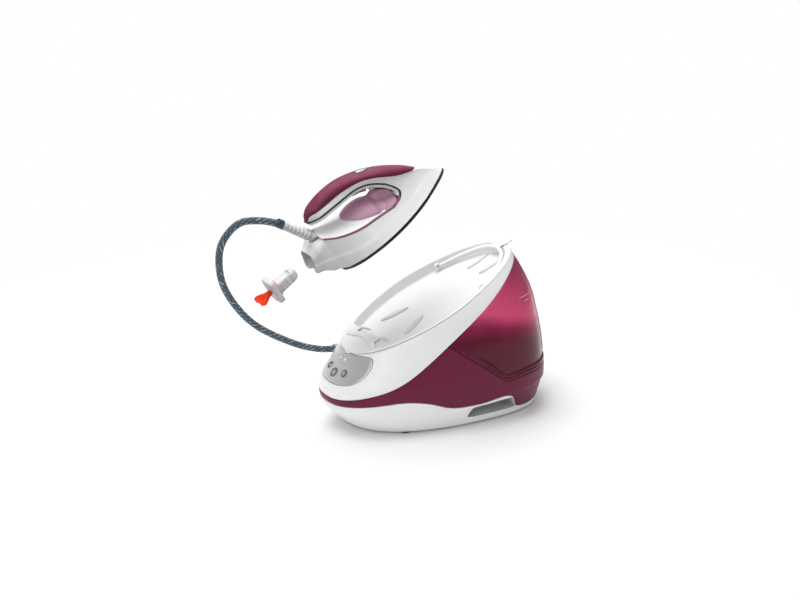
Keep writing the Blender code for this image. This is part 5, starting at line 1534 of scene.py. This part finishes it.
# ---------------------------------------------------------------- iron: hose guard, hose and collector
def build_guard():
    """The ribbed strain relief on its ball, and the dark collar where the hose enters it."""
    bore, length = HOSE_RADIUS + 0.7, GUARD_LENGTH
    profile = [(bore, 10), (bore - 3, 8), (bore - 3, -7), (5.2, -6.4), (6.6, -5.0), (7.6, -3.2), (8.1, -1.6),
               (8.2, 0), (8.0, 1.6), (7.7, 3), (7.4, 6)]
    ribs = 6
    for i in range(ribs):
        start = 8.4 + (length - 16.5) * i / ribs
        width = 8.9 - 2.0 * i / ribs
        profile += [(width - 0.3, start), (width, start + 0.35), (width, start + 3.6)]
        profile += [(width - 0.3, start + 3.95), (width - 1.35, start + 4.2), (width - 1.35, start + 6.0)]
    profile += [(6.7, length - 7.6), (7.2, length - 7), (7.45, length - 5.5), (7.5, length - 0.8)]
    profile += [(7.2, length), (bore + 0.8, length), (bore, length - 12)]
    guard = ring_mesh("guard", turned(profile, GUARD, 64), WHITE_IRON_PAINTED_SHADE, closed=True)
    settle(guard, "hose_guard", ("hose_guard",))
    profile = ((bore - 0.1, -3), (bore - 0.1, 9), (6.7, 9.2), (7.1, 8.4), (7.1, 1.2), (6.9, 0.3),
               (bore + 0.7, 0.2), (bore + 0.7, -3))
    profile = [(radius, length + along) for radius, along in profile]
    collar = ring_mesh("guard_collar", turned(profile, GUARD, 56), COLLAR, closed=True)
    settle(collar, "hose_guard")


def build_hose():
    """The steam hose, a swept tube whose braid stands slightly out of its surface."""
    inside = [GUARD @ Vector((0, 0, GUARD_LENGTH + d)) for d in (-14, -6, 2)]
    path = smooth_path(inside + list(HOSE_PATH), 40)
    sides = 32
    even, travelled = [path[0]], 0.0
    for before, after in zip(path, path[1:]):
        travelled += (after - before).length
        if travelled >= 1.5:
            even.append(after)
            travelled = 0.0
    rings = sweep_rings(even, HOSE_RADIUS, sides)
    lengths = [0.0]
    for before, after in zip(even, even[1:]):
        lengths.append(lengths[-1] + (after - before).length)
    points = []
    for i, ring in enumerate(rings):
        for j, p in enumerate(ring):
            turn, along = 5 * 2 * math.pi * j / sides, 2 * math.pi * lengths[i] / HOSE_TWIST
            lift = 0.16 * math.cos(turn + along) * math.cos(turn - along)
            points.append(p + (p - even[i]).normalized() * lift)
    faces = [tuple(range(sides))[::-1], tuple(range(len(points) - sides, len(points)))]
    for i in range(len(rings) - 1):
        for j in range(sides):
            k = (j + 1) % sides
            faces.append((i * sides + j, i * sides + k, (i + 1) * sides + k, (i + 1) * sides + j))
    mesh = bpy.data.meshes.new("hose")
    mesh.from_pydata([p * MM for p in points], [], faces)
    layer = mesh.uv_layers.new(name="around")
    for face in mesh.polygons:
        for loop, vertex in zip(face.loop_indices, face.vertices):
            ring, j = divmod(vertex, sides)
            closes = len(face.vertices) == 4 and any(v % sides == sides - 1 for v in face.vertices)
            wrapped = 1.0 if j == 0 and closes else 0.0
            layer.data[loop].uv = (j / sides + wrapped, lengths[ring] * MM)
    mesh.shade_smooth()
    mesh.materials.append(HOSE)
    hose = bpy.data.objects.new("hose", mesh)
    bpy.context.scene.collection.objects.link(hose)
    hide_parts("steam_hose")
    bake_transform(hose)


def build_collector():
    """The scale collector: a flange with a slotted barrel, its seal and the ring on its face."""
    start = HOUSING_END_Y - COLLECTOR_GAP
    rings = []
    steps = ((0.0, 3.0), (0.25, 1.4), (0.9, 0.4), (2.0, 0.0), (8.0, 0.0), (9.0, 0.5), (9.6, 1.4), (9.9, 3.0))
    for depth, inset in steps:
        outline = rectangle(inset - 15.5, 15.5 - inset, inset - 21.5, 21.5 - inset)
        outline = rounded(outline, 9.0 - inset, 8)
        rings.append([(x, start - 0.35 - depth, COLLECTOR_Z + z) for x, z in outline])
    body = ring_mesh("collector_flange", in_iron(rings), WHITE_IRON_PAINTED_SHADE)
    barrel = []
    stations = ((-2, 22, 20), (8, 22, 20), (22, 21, 19), (23, 19.6, 18), (24.4, 19.6, 18), (25.4, 20.6, 19),
                (33, 18.6, 18), (37.4, 15.8, 14), (38, 14.2, 12.4))
    for along, wide, tall in stations:
        shape = rounded(rectangle(-wide / 2, wide / 2, -tall / 2, tall / 2), 5.5, 5)
        barrel.append([(x, start + along, COLLECTOR_Z + z) for x, z in shape])
    carve(body, "collector_barrel", in_iron(barrel), "UNION")
    slot = rounded(rectangle(-7.5, 7.5, 26.6, 28.8), 0.8, 3)
    for side in (1, -1):
        hole = [[(x, start + y, COLLECTOR_Z + side * h) for x, y in slot] for h in (7.0, 14.0)]
        carve(body, "barrel_slot_%d" % side, in_iron(hole))
    groove = rounded(rectangle(9.9, 13, -7, 7), 0.6, 3)
    for i, y in enumerate((6, 11, 16)):
        for side in (1, -1):
            hole = [[(side * x, start + y + d, COLLECTOR_Z + z) for x, z in groove] for d in (-0.6, 0.6)]
            carve(body, "barrel_groove_%d_%d" % (i, side), in_iron(hole))
    settle_cut(body, "collector", ("collector_body",), bevel=0.3)
    seal = []
    profile = ((13.7, 0.3), (14.1, 1.9), (14.5, 2.3), (14.9, 1.9), (15.3, 0.3))
    for a in angles(64):
        seal.append([(r * math.sin(a), start + d, COLLECTOR_Z + r * math.cos(a)) for r, d in profile])
    seal = ring_mesh("seal", in_iron(seal), SEAL_PINK, closed=True)
    settle(seal, "collector", ("collector_seal",))
    face = []
    profile = ((0.93, 0.1), (0.94, 0.75), (1.0, 0.95), (1.06, 0.75), (1.07, 0.1))
    for a in angles(72):
        x = signed_power(math.sin(a), 0.75) * 12.6
        z = signed_power(math.cos(a), 0.75) * 18.4
        face.append([(k * x, start - 0.2 - 9.9 - h + 0.3, COLLECTOR_Z + k * z) for k, h in profile])
    settle(ring_mesh("flange_ring", in_iron(face), SEAL_PINK, closed=True), "collector")


def build_knob():
    """The collector's fan-shaped knob with three hollows on each side."""
    back = HOUSING_END_Y - COLLECTOR_GAP - 10.0
    centre = back - 14
    right = ((4.5, 0.4), (5.2, 7), (11, 12.5), (17, 20), (15.4, 25), (9, 26.8))
    outline = [(-4.5, back - 0.4)] + [(x, back - y) for x, y in right] + [(0, back - 24.6)]
    outline = rounded(outline + [(-x, back - y) for x, y in right[:0:-1]], 3.0, 5)
    rings = []
    for share, h in ((0.82, -3.3), (0.94, -3.0), (1.0, -2.2), (1.0, 2.2), (0.94, 3.0), (0.82, 3.3)):
        ring = []
        for x, y in outline:
            along = centre + (y - centre) * share
            along = max(along, back - 26.9) if y < centre else min(along, back - 0.4)
            ring.append((x * share, along, COLLECTOR_Z + h))
        rings.append(ring)
    knob = ring_mesh("knob", in_iron(rings), KNOB, smooth=50)
    for i, x in enumerate((-9, 0, 9)):
        near, far = back - 12, back - 21.5
        hollow = ((x - 2.6, far), (x + 2.6, far), (x * 0.62 + 1.0, near), (x * 0.62 - 1.0, near))
        hollow = rounded(hollow, 1.4, 4)
        for side in (1, -1):
            hole = [[(px, py, COLLECTOR_Z + side * h) for px, py in hollow] for h in (1.4, 6.0)]
            carve(knob, "knob_hollow_%d_%d" % (i, side), in_iron(hole))
    settle_cut(knob, "collector_knob", ("collector_knob",), bevel=0.3)


# ---------------------------------------------------------------- stage
def build_stage():
    """A pale floor that melts into a white surround, soft room light and three large lamps."""
    nodes = Nodes("floor_paper")
    base = nodes.mix(nodes.uneven(1.5, 0.0, 1.0), (0.93, 0.93, 0.935), (0.95, 0.95, 0.95))
    paper = nodes.finish(base, 0.9, nodes.grain(900.0, 0.02, detail=4.0))
    away = nodes.node("ShaderNodeVectorMath", 1, (("operation", "LENGTH"),), Vector=nodes.coords)
    seen = nodes.tree.nodes.new("ShaderNodeLightPath").outputs["Is Camera Ray"]
    fade = nodes.maths("MULTIPLY", nodes.fit(away, 0.55, 1.15, 0.0, 1.0), seen)
    glow = nodes.node("ShaderNodeEmission", Color=(1.0, 1.0, 1.0), Strength=1.0)
    blend = nodes.tree.nodes.new("ShaderNodeMixShader")
    for socket, given in zip(blend.inputs, (fade, nodes.shader.outputs[0], glow)):
        nodes.put(socket, given)
    nodes.put(nodes.tree.nodes["Material Output"].inputs["Surface"], blend.outputs[0])
    rings = turned([(7000 * (1 - i / 24) ** 2, -3.2) for i in range(24)] + [(0, -3.2)], None, 64)
    floor = ring_mesh("floor", rings, paper, caps=False)
    world = bpy.data.worlds.new("studio")
    bpy.context.scene.world = world
    world.use_nodes = True
    tree = world.node_tree
    path = tree.nodes.new("ShaderNodeLightPath")
    strength = tree.nodes.new("ShaderNodeMapRange")
    strength.inputs[3].default_value = ROOM_LIGHT
    strength.inputs[4].default_value = 1.0
    tree.links.new(path.outputs["Is Camera Ray"], strength.inputs[0])
    tree.links.new(strength.outputs[0], tree.nodes["Background"].inputs[1])
    tree.nodes["Background"].inputs[0].default_value = (1.0, 1.0, 1.0, 1)
    for name, place, size, power in LAMPS:
        light = bpy.data.lights.new(name, "AREA")
        light.size = size
        light.energy = power
        lamp = bpy.data.objects.new(name, light)
        lamp.location = place
        lamp.rotation_euler = (LAMP_TARGET - Vector(place)).to_track_quat("-Z", "Y").to_euler()
        bpy.context.scene.collection.objects.link(lamp)
    bpy.context.scene.view_settings.view_transform = "Standard"


def place_camera():
    """A long lens from the front right, aimed so that the base sits below and right of the centre."""
    azimuth, elevation = CAMERA_AZIMUTH, CAMERA_ELEVATION
    level = math.cos(elevation)
    back = Vector((math.sin(azimuth) * level, -math.cos(azimuth) * level, math.sin(elevation)))
    camera = bpy.data.cameras.new("camera")
    camera.lens = CAMERA_LENS
    camera.sensor_width = 36.0
    shown = bpy.data.objects.new("camera", camera)
    aim = (-back).to_track_quat("-Z", "Y").to_matrix().to_4x4()
    offset = CAMERA_OFFSET.normalized().rotation_difference(Vector((0, 0, -1))).to_matrix().to_4x4()
    shown.matrix_world = Matrix.Translation(CAMERA_TARGET + back * CAMERA_DISTANCE) @ aim @ offset
    bpy.context.scene.collection.objects.link(shown)
    bpy.context.scene.camera = shown


def main():
    build_pan()
    build_shell()
    build_cover()
    build_rest()
    build_pads()
    build_heel_fork()
    build_hoop()
    build_panel()
    build_grommet()
    build_tank()
    build_lid()
    build_latch()
    build_iron_body()
    build_eye_lining()
    build_deck()
    build_insert()
    build_grip()
    build_controls()
    build_sole()
    build_guard()
    build_hose()
    build_collector()
    build_knob()
    paint_frame()
    build_stage()
    place_camera()


main()
